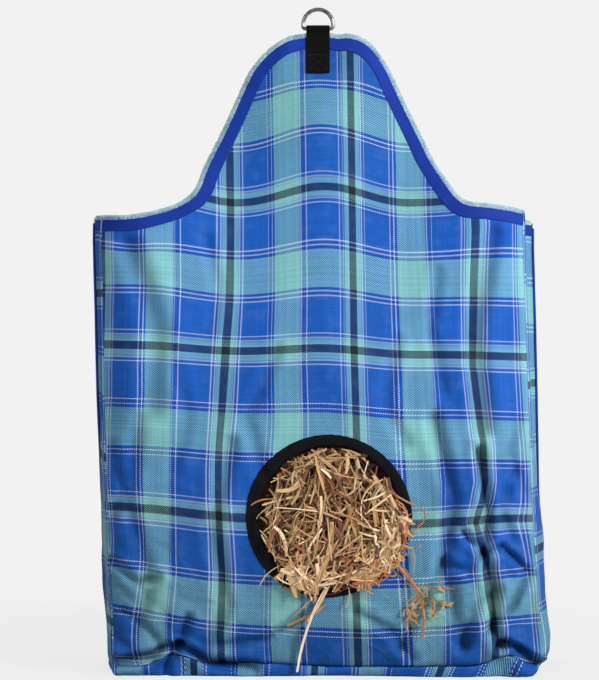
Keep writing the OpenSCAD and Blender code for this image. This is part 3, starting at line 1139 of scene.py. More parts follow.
@dataclass(frozen=True)
class WovenTape:
    """Narrow woven tape with fine ribs along it and a tighter selvedge."""

    name: str
    colour: Triple
    rib: float = 0.0011
    roughness: float = 0.55
    relief: float = 0.00025
    gloss: float = 0.14

    def material(self) -> Finish:
        """The tape's material: u runs along it and v across it, in metres.

        Returns:
            The material.
        """
        n = Nodes(self.name)
        u, v, uv = n.uv()
        along = n.math("DIVIDE", u, self.rib)
        across = n.math("DIVIDE", v, self.rib)
        shift = n.math("MULTIPLY", n.math("PINGPONG", n.math("FLOOR", across), 3.0), 0.25)
        rib = n.math("ABSOLUTE", n.math("SINE", n.math("MULTIPLY", n.math("ADD", along, shift), math.pi)))
        row = n.math("ABSOLUTE", n.math("SINE", n.math("MULTIPLY", across, math.pi)))
        weave = n.math("MULTIPLY", n.math("POWER", rib, 0.5), n.math("POWER", row, 0.4))
        patch = n.math("MULTIPLY_ADD", n.noise(uv, 24.0, 3.0), 0.7, 0.62)
        n.bump(weave, self.relief, 0.7)
        shade = n.math("MULTIPLY", patch, n.math("MULTIPLY_ADD", weave, 0.5, 0.62))
        return n.finish(n.bright(self.colour, shade), self.roughness, specular=self.gloss)


@dataclass(frozen=True)
class ThreadFinish:
    """Twisted sewing or overlock thread, with patches of lighter and darker yarn."""

    name: str
    dark: Triple
    light: Triple
    roughness: float = 0.75

    def material(self) -> Finish:
        """The thread's material, from object coordinates.

        Returns:
            The material.
        """
        n = Nodes(self.name)
        place = n.place()
        patches = n.noise(place, 60.0, 3.0)
        twist = n.noise(place, 900.0, 1.0)
        tone = n.math("MULTIPLY_ADD", n.math("SUBTRACT", twist, 0.5), 0.5, patches)
        n.bump(twist, 0.0003, 0.6)
        colour = n.ramp(tone, [(0.30, self.dark), (0.68, self.light)])
        return n.finish(colour, self.roughness, specular=0.12)


@dataclass(frozen=True)
class PolishedWire:
    """Nickel-plated wire with faint drawing marks and duller worn patches."""

    colour: Triple = (0.36, 0.35, 0.34)
    worn: Triple = (0.17, 0.165, 0.16)

    def material(self) -> Finish:
        """The wire's material, from object coordinates.

        Returns:
            The material.
        """
        n = Nodes("polished_ring_wire")
        place = n.place()
        wear = n.noise(place, 160.0, 4.0)
        n.bump(n.noise(place, 1400.0, 2.0), 0.00002, 0.4)
        colour = n.ramp(wear, [(0.35, self.worn), (0.62, self.colour)])
        return n.finish(colour, n.math("MULTIPLY_ADD", wear, 0.25, 0.16), metallic=1.0)


@dataclass(frozen=True)
class DryHay:
    """Dry grass: each stem has its own tone, with darker nodes and streaks along it."""

    name: str
    # Painted shade: a depth below 1 darkens the whole material, for hay that lies in shade.
    depth: float = 1.0

    def material(self) -> Finish:
        """The hay's material, from each stem's tone and its UV map along the stem.

        Returns:
            The material.
        """
        n = Nodes(self.name)
        streak = n.noise(n.uv()[2], 260.0, 3.0)
        uneven = n.math("MULTIPLY", n.math("SUBTRACT", streak, 0.5), 0.25)
        tone = n.math("ADD", n.attribute("tone"), uneven)
        colour = n.ramp(tone, [
            (0.00, (0.035, 0.014, 0.010)), (0.14, (0.150, 0.056, 0.030)), (0.30, (0.520, 0.190, 0.085)),
            (0.42, (0.370, 0.240, 0.100)), (0.55, (0.560, 0.325, 0.145)), (0.70, (0.680, 0.440, 0.215)),
            (0.86, (0.820, 0.590, 0.340)), (1.00, (0.920, 0.750, 0.520))])
        shade = n.math("MULTIPLY_ADD", streak, 0.5 * self.depth, 0.75 * self.depth)
        n.bump(streak, 0.0004, 0.5)
        return n.finish(n.bright(colour, shade), 0.62, specular=0.3)


# ---- the sewn cloths


@dataclass
class SewnCloths:
    """The bag's cloth panels: front with neck, two gussets, back and base."""

    shape: BagShape
    material: Finish
    step: float = 0.0042
    hem: float = 0.001
    knee_z: float = 0.552
    neck_rows: int = 54
    hole_inset: float = 0.0095
    foot_z: float = 0.006
    turn_under: float = 0.006
    tuck: float = 0.004
    dark_stripe_z: float = 0.2025
    roll: float = 0.0045
    sole_z: float = 0.0006

    def spread(self, curve: PlanCurve, mirrored: bool) -> Values:
        """Distances along a plan curve, closer together where it bends sharply.

        Args:
            curve: the curve.
            mirrored: whether to repeat it on the other side of its start, as negative distances.

        Returns:
            Increasing distances.
        """
        marks, done = [0.0], 0.0
        for length, bend in curve.stretches:
            count = max(2, math.ceil(length / self.step), math.ceil(abs(bend) / math.radians(16)))
            marks += [done + length * (i + 1) / count for i in range(count)]
            done += length
        right = np.array(marks)
        return np.concatenate([-right[:0:-1], right]) if mirrored else right

    def turned_under(self, z: Values, foot: float) -> Values:
        """How far the lowest part of a cloth is turned under, from 1 at its foot to 0."""
        return np.clip(1 - (z - foot) / self.turn_under, 0, 1) ** 2

    def finished(self, name: str, verts: Points, faces: Values, uv: Points,
                 tone: Values | None = None) -> Piece:
        """A cloth piece from its outer face.

        Args:
            name: the piece's name.
            verts: unsettled places.
            faces: vertex numbers of each face.
            uv: one UV pair per vertex.
            tone: how far each vertex is darkened as painted shade in the creases.

        Returns:
            The piece.
        """
        sheet = new_piece(name, self.shape.settle(verts), faces, uv, tone)
        return dress(thicken(sheet, self.shape.cloth), self.material, Slot.PLAID)

    def plan(self, curve: PlanCurve, distances: Values) -> Points:
        """XY places along a curve that starts on the middle plane, negative distances mirrored."""
        places, _ = curve.at(np.abs(distances))
        return places * np.stack([np.where(distances < 0, -1, 1), np.ones(len(distances))], axis=1)

    def front(self) -> Piece:
        """The front cloth and neck as one piece, with the feed hole cut in it.

        Returns:
            The piece.
        """
        s = self.shape
        curve = s.front_half()
        run = self.spread(curve, mirrored=True)
        plan = self.plan(curve, run)
        top = s.top_height(plan[:, 0], self.hem)
        seam_top = s.top_height(np.array([s.seam_x]), self.hem)[0]
        top = np.where(np.abs(run) > s.front_seam() + 1e-6, seam_top - self.tuck, top)
        knee = self.knee_z
        low = np.linspace(s.lip_z, knee, round((knee - s.lip_z) / self.step))
        high = np.linspace(0, 1, self.neck_rows)[1:]
        rows = np.concatenate([np.repeat(low[:, None], len(run), 1), knee + high[:, None] * (top - knee)])
        x = np.broadcast_to(plan[:, 0], rows.shape)
        y = plan[:, 1] + s.cloth / 2
        tuck = self.turned_under(rows, s.lip_z)
        inside = np.abs(run) <= s.front_seam()
        verts = spots(x * (1 - 0.012 * tuck), y + self.tuck * tuck * inside, rows)
        uv = s.plaid_at(np.broadcast_to(run, rows.shape), x, rows)
        faces = grid_faces(len(rows), len(run))
        flat = verts.reshape(-1, 3)
        radius = np.hypot(flat[:, 0] - s.hole[0], flat[:, 2] - s.hole[1])
        radius[np.abs(np.tile(run, len(rows))) > s.flat_x] = 1.0
        cut = s.hole_outer - self.hole_inset
        keep = (radius[faces] > cut).sum(axis=1) >= 2
        faces = faces[keep]
        near = radius < cut
        scale = cut / np.maximum(radius, 1e-6)
        for axis, middle in zip((0, 2), s.hole):
            flat[near, axis] = middle + (flat[near, axis] - middle) * scale[near]
        used, renumbered = np.unique(faces, return_inverse=True)
        # Painted shade: the front cloth is darkened along its creases and tucks, more where they are deeper.
        crease_shade = np.clip(-s.creases(flat[used]) / 0.008, -0.2, 1)
        faces = renumbered.reshape(-1, 4)
        return self.finished("front_cloth", flat[used], faces, uv.reshape(-1, 2)[used], crease_shade)

    def gusset(self, side: Side) -> Piece:
        """One side wall, with its seam allowance in front and its flange behind.

        Args:
            side: which side.

        Returns:
            The piece.
        """
        s = self.shape
        curve = s.wall()
        run = self.spread(curve, mirrored=False)
        plan, _ = curve.at(run)
        top = np.where(run < s.allowance + 0.002, s.mouth_z - 0.006, s.mouth_z - self.hem)
        share = np.linspace(0, 1, round(s.mouth_z / self.step))[:, None]
        z = self.foot_z + share * (top - self.foot_z)[None]
        verts = spots(plan[:, 0] * side.value, plan[:, 1], z)
        verts[..., 0] -= side.value * self.tuck * self.turned_under(z, self.foot_z)
        across, up = (0.0745, 0.1615) if side is Side.RIGHT else (0.1165, 0.2804)
        faces = grid_faces(len(z), len(run))[:, ::side.value]
        return self.finished(f"{side.name.lower()}_gusset_cloth", verts, faces, spots(run - across, z - up))

    def back(self) -> Piece:
        """The back cloth, turned out along both rear flanges.

        Returns:
            The piece.
        """
        s = self.shape
        curve = s.back_half()
        run = self.spread(curve, mirrored=True)
        plan = self.plan(curve, run)
        z = np.linspace(self.foot_z, s.mouth_z - self.hem, round(s.mouth_z / self.step))[:, None]
        verts = spots(plan[:, 0], plan[:, 1], z)
        verts[..., 1] += s.back_lift
        verts[..., 1] -= self.tuck * self.turned_under(z, self.foot_z)
        uv = spots(run + 0.030, z - self.dark_stripe_z + 0.050)
        return self.finished("back_cloth", verts, grid_faces(len(z), len(run))[:, ::-1], uv)

    def base(self) -> Piece:
        """The base cloth: a lip up to the bottom seam all round, a rolled edge and a flat underside.

        Returns:
            The piece.
        """
        s = self.shape
        front = self.plan(s.front_half(), np.linspace(-s.front_seam(), s.front_seam(), 113))
        wall = np.linspace([s.seam_x, s.seam_y], [s.rear_x, s.back_y], 31)[1:-1]
        rear = np.stack([np.linspace(s.rear_x, -s.rear_x, 117), np.full(117, s.back_y)], axis=1)
        loop = np.concatenate([front, wall, rear, wall[::-1] * [-1, 1]])
        centre = np.array([0.0, (s.front_y + s.back_y) / 2])
        lip = np.where(loop[:, 1] < s.seam_y + 0.001, s.lip_z, 0.009)
        verts = []
        inward = unit(centre - loop)
        for share, tuck in ((1.0, self.roll), (0.93, 0.0018), (0.8, 0.0004), (0.6, 0.0), (0.4, 0.0)):
            verts.append(np.column_stack([loop + inward * tuck, lip * share]))
        for angle in np.radians([20, 40, 60, 80, 90]):
            height = lip * 0.4 * (1 - np.sin(angle)) + self.sole_z
            verts.append(np.column_stack([loop + inward * (self.roll * (1 - np.cos(angle))), height]))
        wall_rings = len(verts)
        for share in np.linspace(0.97, 0.0, 22):
            near = centre + (loop - centre) * share * np.array([1, 0.97])
            waves = np.abs(rough(np.column_stack([near, near[:, 0] * 0]), (9, 9, 1), 3.0))
            lift = self.sole_z + 0.0012 * waves
            verts.append(np.column_stack([near, lift * min(1, 8 * (1 - share)) + 0.0002]))
        stack = np.array(verts)
        stack[-1, :, :2] = centre + (loop - centre) * 0.002
        settled = s.settle(stack)
        settled[..., 2] = np.maximum(settled[..., 2], 0.0007)
        uv = stack[..., :2] + np.array([0.02, 0.05])
        uv[:wall_rings, :, 1] = -stack[:wall_rings, :, 2] - 0.03
        uv[:wall_rings, :, 0] = stack[:wall_rings, :, 0] + 0.009
        faces = grid_faces(len(stack), len(loop), close_cols=True)[:, ::-1]
        piece = new_piece("base_cloth", settled, faces, uv)
        return dress(thicken(piece, s.cloth), self.material, Slot.PLAID)


# ---- trims along the mouth


Placer = Callable[[Values, Values, Values], Points]
STITCH_PITCH = 0.0036


@dataclass
class MouthEdge:
    """An edge of the mouth, with a way to place things by station, inset and height off the cloth."""

    name: str
    shape: BagShape
    stations: int
    length: float
    place: Placer

    @staticmethod
    def along_front(shape: BagShape, step: float) -> "MouthEdge":
        """The edge of the front cloth, over both shoulders and the neck.

        Args:
            shape: the bag's shape.
            step: distance between stations.

        Returns:
            The edge.
        """
        points, normals = shape.outline(step)
        upright = smooth(shape.seam_x - 0.03, shape.seam_x, np.abs(points[:, 0]))[:, None]
        normals = normals * (1 - upright) + np.array([0, 1]) * upright

        def place(station: Values, inset: Values, out: Values) -> Points:
            """Settled places along the outline."""
            spot = np.clip(station, 0, len(points) - 1)
            low = np.floor(spot).astype(int)
            high = np.minimum(low + 1, len(points) - 1)
            part = (spot - low)[..., None]
            base = points[low] * (1 - part) + points[high] * part
            facing = normals[low] * (1 - part) + normals[high] * part
            flat = base - facing * inset[..., None]
            return shape.settle(shape.on_front(flat[..., 0], flat[..., 1], out - shape.cloth / 2))

        total = float(np.linalg.norm(np.diff(points, axis=0), axis=1).sum())
        return MouthEdge("front", shape, len(points), total, place)

    @staticmethod
    def along_plan(name: str, shape: BagShape, start: tuple[float, float], end: tuple[float, float],
                   step: float) -> "MouthEdge":
        """A level edge between two places in plan, with the outside on its right.

        Args:
            name: the edge's name.
            shape: the bag's shape.
            start: plan place at which it starts.
            end: plan place at which it ends.
            step: distance between stations.

        Returns:
            The edge.
        """
        a, b = np.array(start), np.array(end)
        total = float(np.linalg.norm(b - a))
        count = round(total / step) + 1
        outward = np.array([b[1] - a[1], a[0] - b[0]]) / total

        def place(station: Values, inset: Values, out: Values) -> Points:
            """Settled places along the level edge."""
            share = (station / (count - 1))[..., None]
            plan = a + (b - a) * share + outward * out[..., None]
            return shape.settle(np.concatenate([plan, (shape.mouth_z - inset)[..., None]], axis=-1))

        return MouthEdge(name, shape, count, total, place)


@dataclass
class MouthTrim:
    """Edge tape on both faces, its stitches, and the overlocked edge beyond it."""

    edge: MouthEdge
    tape: Finish
    thread: Finish
    stitching: Finish
    tape_width: float = 0.0153
    overlock_width: float = 0.0042
    tape_thickness: float = 0.0008
    loop_pitch: float = 0.0016
    thread_radius: float = 0.00062
    sides: int = 5
    seed: int = 11

    def build_tape(self) -> Piece:
        """A low, crowned strip on each face of the cloth.

        Returns:
            The piece.
        """
        edge = self.edge
        half = [(0.0, 0.0), (0.0001, 0.6), (0.0005, 0.9), (0.0022, 1.0), (0.0030, 0.86), (0.0038, 1.0)]
        profile = half + [(0.0076, 1.08)] + [(self.tape_width - w, h) for w, h in half[::-1]]
        widths, heights = np.array(profile).T
        across = widths + self.overlock_width - 0.0004
        height = heights * self.tape_thickness
        station = np.arange(edge.stations, dtype=float)[:, None]
        quads = grid_faces(edge.stations, len(profile), close_cols=True)
        strips = []
        for face in (1, -1):
            out = face * (edge.shape.cloth / 2 + 0.0001 + height)
            places = edge.place(*np.broadcast_arrays(station, across, out))
            strips.append((places.reshape(-1, 3), quads[:, ::face]))
        uv = spots(station / (edge.stations - 1) * edge.length, across)
        piece = new_piece(f"{edge.name}_tape_strip", *joined(strips), np.stack([uv, uv]))
        return dress(piece, self.tape, Slot.TAPE)

    def build_stitches(self) -> Piece:
        """Two rows of lock stitches down the tape on each face.

        Returns:
            The piece.
        """
        edge = self.edge
        count = int(edge.length / STITCH_PITCH)
        station = np.linspace(0.5, edge.stations - 1.5, count)
        rows = []
        for face in (1, -1):
            for row in (self.overlock_width + 0.0026, self.overlock_width + self.tape_width - 0.0034):
                inset = np.full(count, row)
                lift = np.full(count, face * (edge.shape.cloth / 2 + self.tape_thickness * 0.9))
                here = edge.place(station, inset, lift)
                ahead = edge.place(station + 0.2, inset, lift)
                above = edge.place(station, inset, lift + face * 0.001)
                rows.append(Stitch().row(here, ahead - here, above - here))
        piece = new_piece(f"{edge.name}_tape_stitches", *joined(rows))
        return dress(piece, self.stitching, Slot.TAPE)

    def build_overlock(self) -> Piece:
        """Slanted thread loops wrapped over the edge, close together and a little uneven.

        Returns:
            The piece.
        """
        edge = self.edge
        rng = np.random.default_rng(self.seed)
        count = int(edge.length / self.loop_pitch)
        station = np.linspace(0.3, edge.stations - 1.3, count) + rng.normal(0, 0.05, count)
        half = [(1.18, 1.0), (0.75, 1.5), (0.20, 1.6), (-0.18, 1.0)]
        path = half + [(-0.28, 0.0)] + [(over, -off) for over, off in half[::-1]]
        slant = np.linspace(-0.5, 0.5, len(path))
        reach = self.overlock_width * (1 + rng.normal(0, 0.06, (count, 1)))
        fluff = 1 + rng.normal(0, 0.18, (count, 1))
        over, off = np.array(path).T
        inset = reach * over - np.abs(rng.normal(0, 0.00035, (count, 1)))
        out = edge.shape.cloth / 2 * fluff * off * 1.1
        per = (edge.stations - 1) / edge.length
        spots = station[:, None] + slant[None] * self.loop_pitch * per * 1.6
        centre = edge.place(spots, inset, out)
        tangent = unit(np.gradient(centre, axis=1))
        ahead = edge.place(spots + 0.2, inset, out) - centre
        first = unit(ahead - (ahead * tangent).sum(-1, keepdims=True) * tangent)
        second = np.cross(tangent, first)
        angle = (np.arange(self.sides) * 2 * math.pi / self.sides)[:, None]
        radius = self.thread_radius * (1 + rng.normal(0, 0.15, (count, 1, 1, 1)))
        ring = first[:, :, None] * np.cos(angle) + second[:, :, None] * np.sin(angle)
        verts = centre[:, :, None] + ring * radius
        piece = new_piece(f"{edge.name}_overlock_thread", verts, tube_faces(count, len(path), self.sides))
        return dress(piece, self.thread, Slot.OVERLOCK)


@dataclass
class RearSeam:
    """Tape folded over the flange where a gusset meets the back cloth, with its row of stitches."""

    shape: BagShape
    side: Side
    tape: Finish
    stitching: Finish
    wrap: float = 0.0105
    thickness: float = 0.0008
    slack: float = 0.0006

    def axes(self) -> tuple[Values, Values, Values]:
        """The right flange in plan.

        Returns:
            The foot of its middle line, the way along it and the way across it.
        """
        s = self.shape
        along = np.array([math.cos(s.flange_turn), math.sin(s.flange_turn)])
        return np.array([s.rear_x, s.back_y + self.slack]), along, np.array([along[1], -along[0]])

    def section(self) -> Points:
        """Plan places round the folded tape, outside then inside.

        Returns:
            One place per point.
        """
        foot, along, across = self.axes()
        root = foot + along * 0.0012
        half = self.shape.cloth + self.slack
        outer = half + self.thickness
        tip = self.wrap - 0.001
        arc = np.radians(np.linspace(90, -90, 9))
        outside = [(0.0, outer - 0.0004), (0.0006, outer), (tip * 0.5, outer + 0.0002)]
        outside += [(tip + outer * math.cos(a), outer * math.sin(a)) for a in arc]
        outside += [(tip * 0.5, -outer - 0.0002), (0.0006, -outer), (0.0, -outer + 0.0004)]
        inside = [(0.0002, -half), (tip, -half), (tip + half * 0.7, 0.0), (tip, half), (0.0002, half)]
        section = np.array(outside + inside)
        return root + section[:, :1] * along + section[:, 1:] * across

    def build(self) -> Piece:
        """The binding from the base to the mouth.

        Returns:
            The piece.
        """
        s = self.shape
        plan = self.section()
        z = np.arange(0.004, s.mouth_z - 0.0035, 0.005)[:, None]
        verts = spots(plan[:, 0] * self.side.value, plan[:, 1], z)
        faces = [face[::self.side.value] for face in capped_faces(len(z), len(plan))]
        name = f"{self.side.name.lower()}_rear_seam_tape"
        piece = new_piece(name, s.settle(verts), faces, spots(z, travelled(plan)))
        return dress(piece, self.tape, Slot.TAPE)

    def build_stitches(self) -> Piece:
        """A row of lock stitches down each face of the binding.

        Returns:
            The piece.
        """
        s = self.shape
        foot, along, across = self.axes()
        z = np.arange(0.01, s.mouth_z - 0.02, STITCH_PITCH)
        rows = []
        for face in (1, -1):
            lift = (s.cloth + self.slack + self.thickness) * face
            plan = (foot + along * 0.0034 + across * lift) * [self.side.value, 1]
            here, ahead = (s.settle(spots(*plan, z + rise)) for rise in (0, 0.001))
            up = np.array([across[0] * self.side.value, across[1], 0]) * face
            rows.append(Stitch().row(here, ahead - here, np.repeat(up[None], len(z), 0)))
        piece = new_piece(f"{self.side.name.lower()}_rear_seam_stitches", *joined(rows))
        return dress(piece, self.stitching, Slot.TAPE)


# ---- feed hole, tab and ring


@dataclass
class FeedHole:
    """The folded binding round the feed hole, slightly puckered, with a row of stitches on each face."""

    shape: BagShape
    tape: Finish
    stitching: Finish
    stations: int = 200
    width: float = 0.0150
    face: float = 0.0021

    def surface(self, angle: Values, radius: Values, out: Values) -> Points:
        """Settled places round the hole's axis.

        Args:
            angle: clockwise from straight up.
            radius: distance from the axis.
            out: distance in front of the cloth.

        Returns:
            One place per entry.
        """
        s = self.shape
        x, z = s.hole[0] + radius * np.sin(angle), s.hole[1] + radius * np.cos(angle)
        return s.settle(spots(x, s.front_y + s.cloth / 2 - out, z))

    def build(self) -> Piece:
        """The binding: both faces and the rolled inner edge.

        Returns:
            The piece.
        """
        outer, face = self.shape.hole_outer, self.face
        inner = outer - self.width
        half = [(outer, 0.0006), (outer - 0.0003, face * 0.75), (outer - 0.0012, face * 0.95),
                (outer - 0.0026, face * 0.80), (outer - 0.0042, face * 1.05), (outer - 0.0075, face * 1.12),
                (inner + 0.0036, face * 1.10), (inner + 0.0016, face), (inner + 0.0004, face * 0.62)]
        section = np.array(half + [(inner, 0.0)] + [(r, -h) for r, h in half[::-1]])
        angle = np.linspace(0, 2 * math.pi, self.stations, endpoint=False)[:, None]
        radius, out = section.T
        mean = (outer + inner) / 2
        pucker = np.sin(angle * 61) * 0.55 + np.sin(angle * 37 + 1.0) * 0.45
        near_edge = np.clip((radius - mean) / (outer - mean), 0, 1)
        shifted = radius + near_edge * 0.0003 * pucker + 0.0008 * np.sin(3 * angle + 0.6) * (radius < mean)
        out = out * (1 + 0.14 * pucker * (0.3 + near_edge))
        faces = grid_faces(self.stations, len(section), close_rows=True, close_cols=True)
        places = self.surface(angle, shifted, out)
        piece = new_piece("feed_hole_edge_binding", places, faces, spots(angle * mean, travelled(section)))
        return dress(piece, self.tape, Slot.WEBBING)

    def build_stitches(self) -> Piece:
        """A row of lock stitches near the binding's outer edge on each face.

        Returns:
            The piece.
        """
        row = self.shape.hole_outer - 0.0026
        count = int(2 * math.pi * row / 0.0042)
        angle = np.linspace(0, 2 * math.pi, count, endpoint=False)
        stitch = Stitch(length=0.0032, width=0.0008, height=0.0005)
        rows = []
        for side in (1, -1):
            lift = 0.0018 * side
            here = self.surface(angle, row, lift)
            ahead = self.surface(angle + 0.01, row, lift)
            above = self.surface(angle, row, lift + 0.001 * side)
            rows.append(stitch.row(here, ahead - here, above - here))
        piece = new_piece("feed_hole_stitches", *joined(rows))
        return dress(piece, self.stitching, Slot.THREAD)


@dataclass
class HangingTab:
    """Webbing folded round the ring's bar and sewn to both faces of the neck."""

    webbing: Finish
    stitching: Finish
    columns: int = 18
    leg_points: int = 24
    play: float = 0.00005

    def __post_init__(self) -> None:
        """Reads the tab's and the ring's places from the frame."""
        self.low, self.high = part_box("hanging_tab")
        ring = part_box("d_ring")
        self.wire = (ring[1][1] - ring[0][1]) / 2
        self.axis_y = (ring[0][1] + ring[1][1]) / 2
        self.axis_z = ring[0][2] + self.wire
        self.width = self.high[0] - self.low[0]
        self.thickness = self.high[2] - self.axis_z - self.wire - self.play
        self.leg = 0.0033 - self.thickness

    def centreline(self) -> tuple[Points, Points]:
        """Side view of the webbing's mid line, from the front leg's end to the back leg's.

        Returns:
            YZ places from the ring's bar, and their normals.
        """
        radius = self.wire + self.play + self.thickness / 2
        leg = self.leg + self.thickness / 2
        rise = np.linspace(self.low[2], self.axis_z - 0.0095, self.leg_points)
        fall = np.linspace(self.axis_z - 0.0095, self.low[2], self.leg_points)
        start = math.radians(-38)
        turn = np.linspace(start, math.pi - start, 34)
        over = spots(-radius * np.cos(turn), radius * np.sin(turn) + self.axis_z)
        line = np.concatenate([spots(-leg, rise), over, spots(leg, fall)])
        run = np.gradient(line, axis=0)
        return line, unit(spots(-run[:, 1], run[:, 0]))

    def build(self) -> Piece:
        """The webbing as one closed strap with rounded selvedges and slightly uneven cut ends.

        Returns:
            The piece.
        """
        line, normal = self.centreline()
        half, t = self.width / 2, self.thickness / 2
        across = np.concatenate([[-half, -half + 0.0003, -half + 0.0009],
                                 np.linspace(-half + 0.0022, half - 0.0022, self.columns),
                                 [half - 0.0009, half - 0.0003, half]])
        marks = [half - 0.0022, half - 0.0009, half - 0.0003, half]
        swell = np.interp(np.abs(across), marks, [1, 0.94, 0.7, 0.2])
        x = np.concatenate([across, across[::-1]])
        lift = np.concatenate([swell, -swell[::-1]]) * t
        place = line[:, None] + normal[:, None] * lift[None, :, None]
        verts = spots(x, place[..., 0] + self.axis_y, place[..., 1])
        verts[[0, -1], :, 2] += 0.0005 * np.sin(x * 900)
        uv = spots(travelled(line)[:, None], x)
        piece = new_piece("webbing_tab", verts, capped_faces(len(line), len(x)), uv)
        return dress(piece, self.webbing, Slot.WEBBING)

    def build_stitches(self) -> Piece:
        """A boxed cross of stitches on both legs.

        Returns:
            The piece.
        """
        box_w, box_h, pitch = self.width - 0.008, 0.018, 0.0037
        middle = self.low[2] + 0.005 + box_h / 2
        corners = np.array([(-1, -1), (1, -1), (1, 1), (-1, 1)]) * [box_w / 2, box_h / 2]
        places, headings = [], []
        for a, b in ((0, 1), (1, 2), (2, 3), (3, 0), (0, 2), (1, 3)):
            run = corners[b] - corners[a]
            count = max(2, round(np.linalg.norm(run) / pitch))
            places += [corners[a] + run * (i + 0.5) / count for i in range(count)]
            headings += [run] * count
        spot, heading = np.array(places), np.array(headings)
        run = spots(heading[:, 0], 0.0, heading[:, 1])
        rows = []
        for face in (-1, 1):
            y = self.axis_y + face * (self.leg + self.thickness - 0.0001)
            up = np.repeat(np.array([[0.0, face, 0.0]]), len(spot), axis=0)
            here = spots(spot[:, 0], y, spot[:, 1] + middle)
            rows.append(Stitch(length=0.003, width=0.0008, height=0.0005).row(here, run, up))
        piece = new_piece("webbing_tab_stitches", *joined(rows))
        return dress(piece, self.stitching, Slot.THREAD)


# ---- hay


@dataclass
class Stems:
    """A batch of hay stems, each a flattened, bent tube from one quadratic curve."""

    rng: np.random.Generator
    rings: int = 6
    sides: int = 4

    def mesh(self, name: str, start: Points, middle: Points, end: Points, width: Values, flat: Values,
             tone: Values, facing: Triple,
             guide: Callable[[Points], Points] | None = None) -> Piece:
        """Builds all stems as one piece.

        Args:
            name: the piece's name.
            start: one end of each stem.
            middle: the point that each stem bends towards.
            end: the other end.
            width: each stem's width.
            flat: each stem's thickness as a share of its width.
            tone: each stem's tone, from 0 dark to 1 pale.
            facing: the way that the flat sides tend to face.
            guide: moves centreline points, such as clear of an edge.

        Returns:
            The piece.
        """
        t = np.linspace(0, 1, self.rings)[None, :, None]
        centre = start[:, None] * (1 - t) ** 2 + 2 * middle[:, None] * t * (1 - t) + end[:, None] * t**2
        if guide is not None:
            centre = guide(centre)
        run = unit(np.gradient(centre, axis=1))
        helper = unit(self.rng.normal(0, 0.55, size=(len(start), 1, 3)) + np.array(facing))
        first = unit(np.cross(run, helper + 0 * run))
        second = np.cross(run, first)
        angle = (np.arange(self.sides) * 2 * math.pi / self.sides)[:, None]
        taper = (0.55 + 0.45 * np.sin(np.linspace(0.25, 2.6, self.rings)))[None, :, None, None]
        ring = first[:, :, None] * np.cos(angle)
        ring = ring + second[:, :, None] * np.sin(angle) * flat[:, None, None, None]
        verts = centre[:, :, None] + ring * (width / 2)[:, None, None, None] * taper
        shades = np.broadcast_to(tone[:, None, None], verts.shape[:3])
        length = np.linalg.norm(end - start, axis=1)
        u = (self.rng.random(len(start)) * 9)[:, None, None] + angle[:, 0] * 0.001
        uv = spots(u, t * length[:, None, None] * 0.12)
        piece = new_piece(name, verts, tube_faces(len(start), self.rings, self.sides), uv, shades)
        piece.data.shade_flat()
        return piece

    def tones(self, count: int) -> Values:
        """Tones of many stems: mostly tan and straw, some pale and some red-brown.

        Args:
            count: how many stems.

        Returns:
            One tone per stem.
        """
        kind = self.rng.random(count)
        return np.clip(np.select(
            [kind < 0.13, kind < 0.34, kind < 0.80],
            [self.rng.normal(0.16, 0.06, count), self.rng.normal(0.36, 0.07, count),
             self.rng.normal(0.64, 0.14, count)],
            self.rng.normal(0.93, 0.07, count)), 0, 1)


LOOSE_STEMS: list[tuple[float, ...]] = [
    (10, -74, -24, -120, -31, -204, 4.2, 0.98),
    (8, -56, 6, -96, -22, -133, 3.2, 0.80),
    (0, -113, -14, -124, -47, -141, 3.2, 0.42),
    (-4, -86, -16, -104, -40, -128, 1.6, 0.40),
    (24, -84, 34, -98, 26, -116, 1.8, 0.56),
    (34, -78, 46, -96, 60, -98, 2.2, 0.72),
    (70, -46, 100, -72, 122, -104, 3.4, 0.32),
    (64, -52, 98, -80, 120, -106, 2.0, 0.46),
    (119, -103, 126, -128, 118, -157, 2.2, 0.33),
    (112, -88, 134, -92, 160, -93, 1.7, 0.36),
    (114, -104, 88, -120, 117, -139, 1.8, 0.30),
    (125, -104, 146, -116, 127, -134, 2.0, 0.42),
    (122, -100, 140, -108, 152, -116, 1.8, 0.48),
    (118, -106, 106, -118, 102, -134, 1.6, 0.34),
    (103, -22, 132, 0, 114, 12, 1.7, 0.34),
    (103, -38, 112, -50, 108, -70, 1.8, 0.44),
    (84, -58, 104, -66, 106, -88, 1.4, 0.36),
    (86, -40, 106, -44, 118, -36, 1.2, 0.30),
    (-60, -62, -78, -70, -84, -88, 1.2, 0.62),
    (-70, 22, -88, 24, -98, 14, 1.6, 0.33),
]
"""Each loose stem's start, bend and end across and up from the hole's middle, its width (all mm) and tone."""


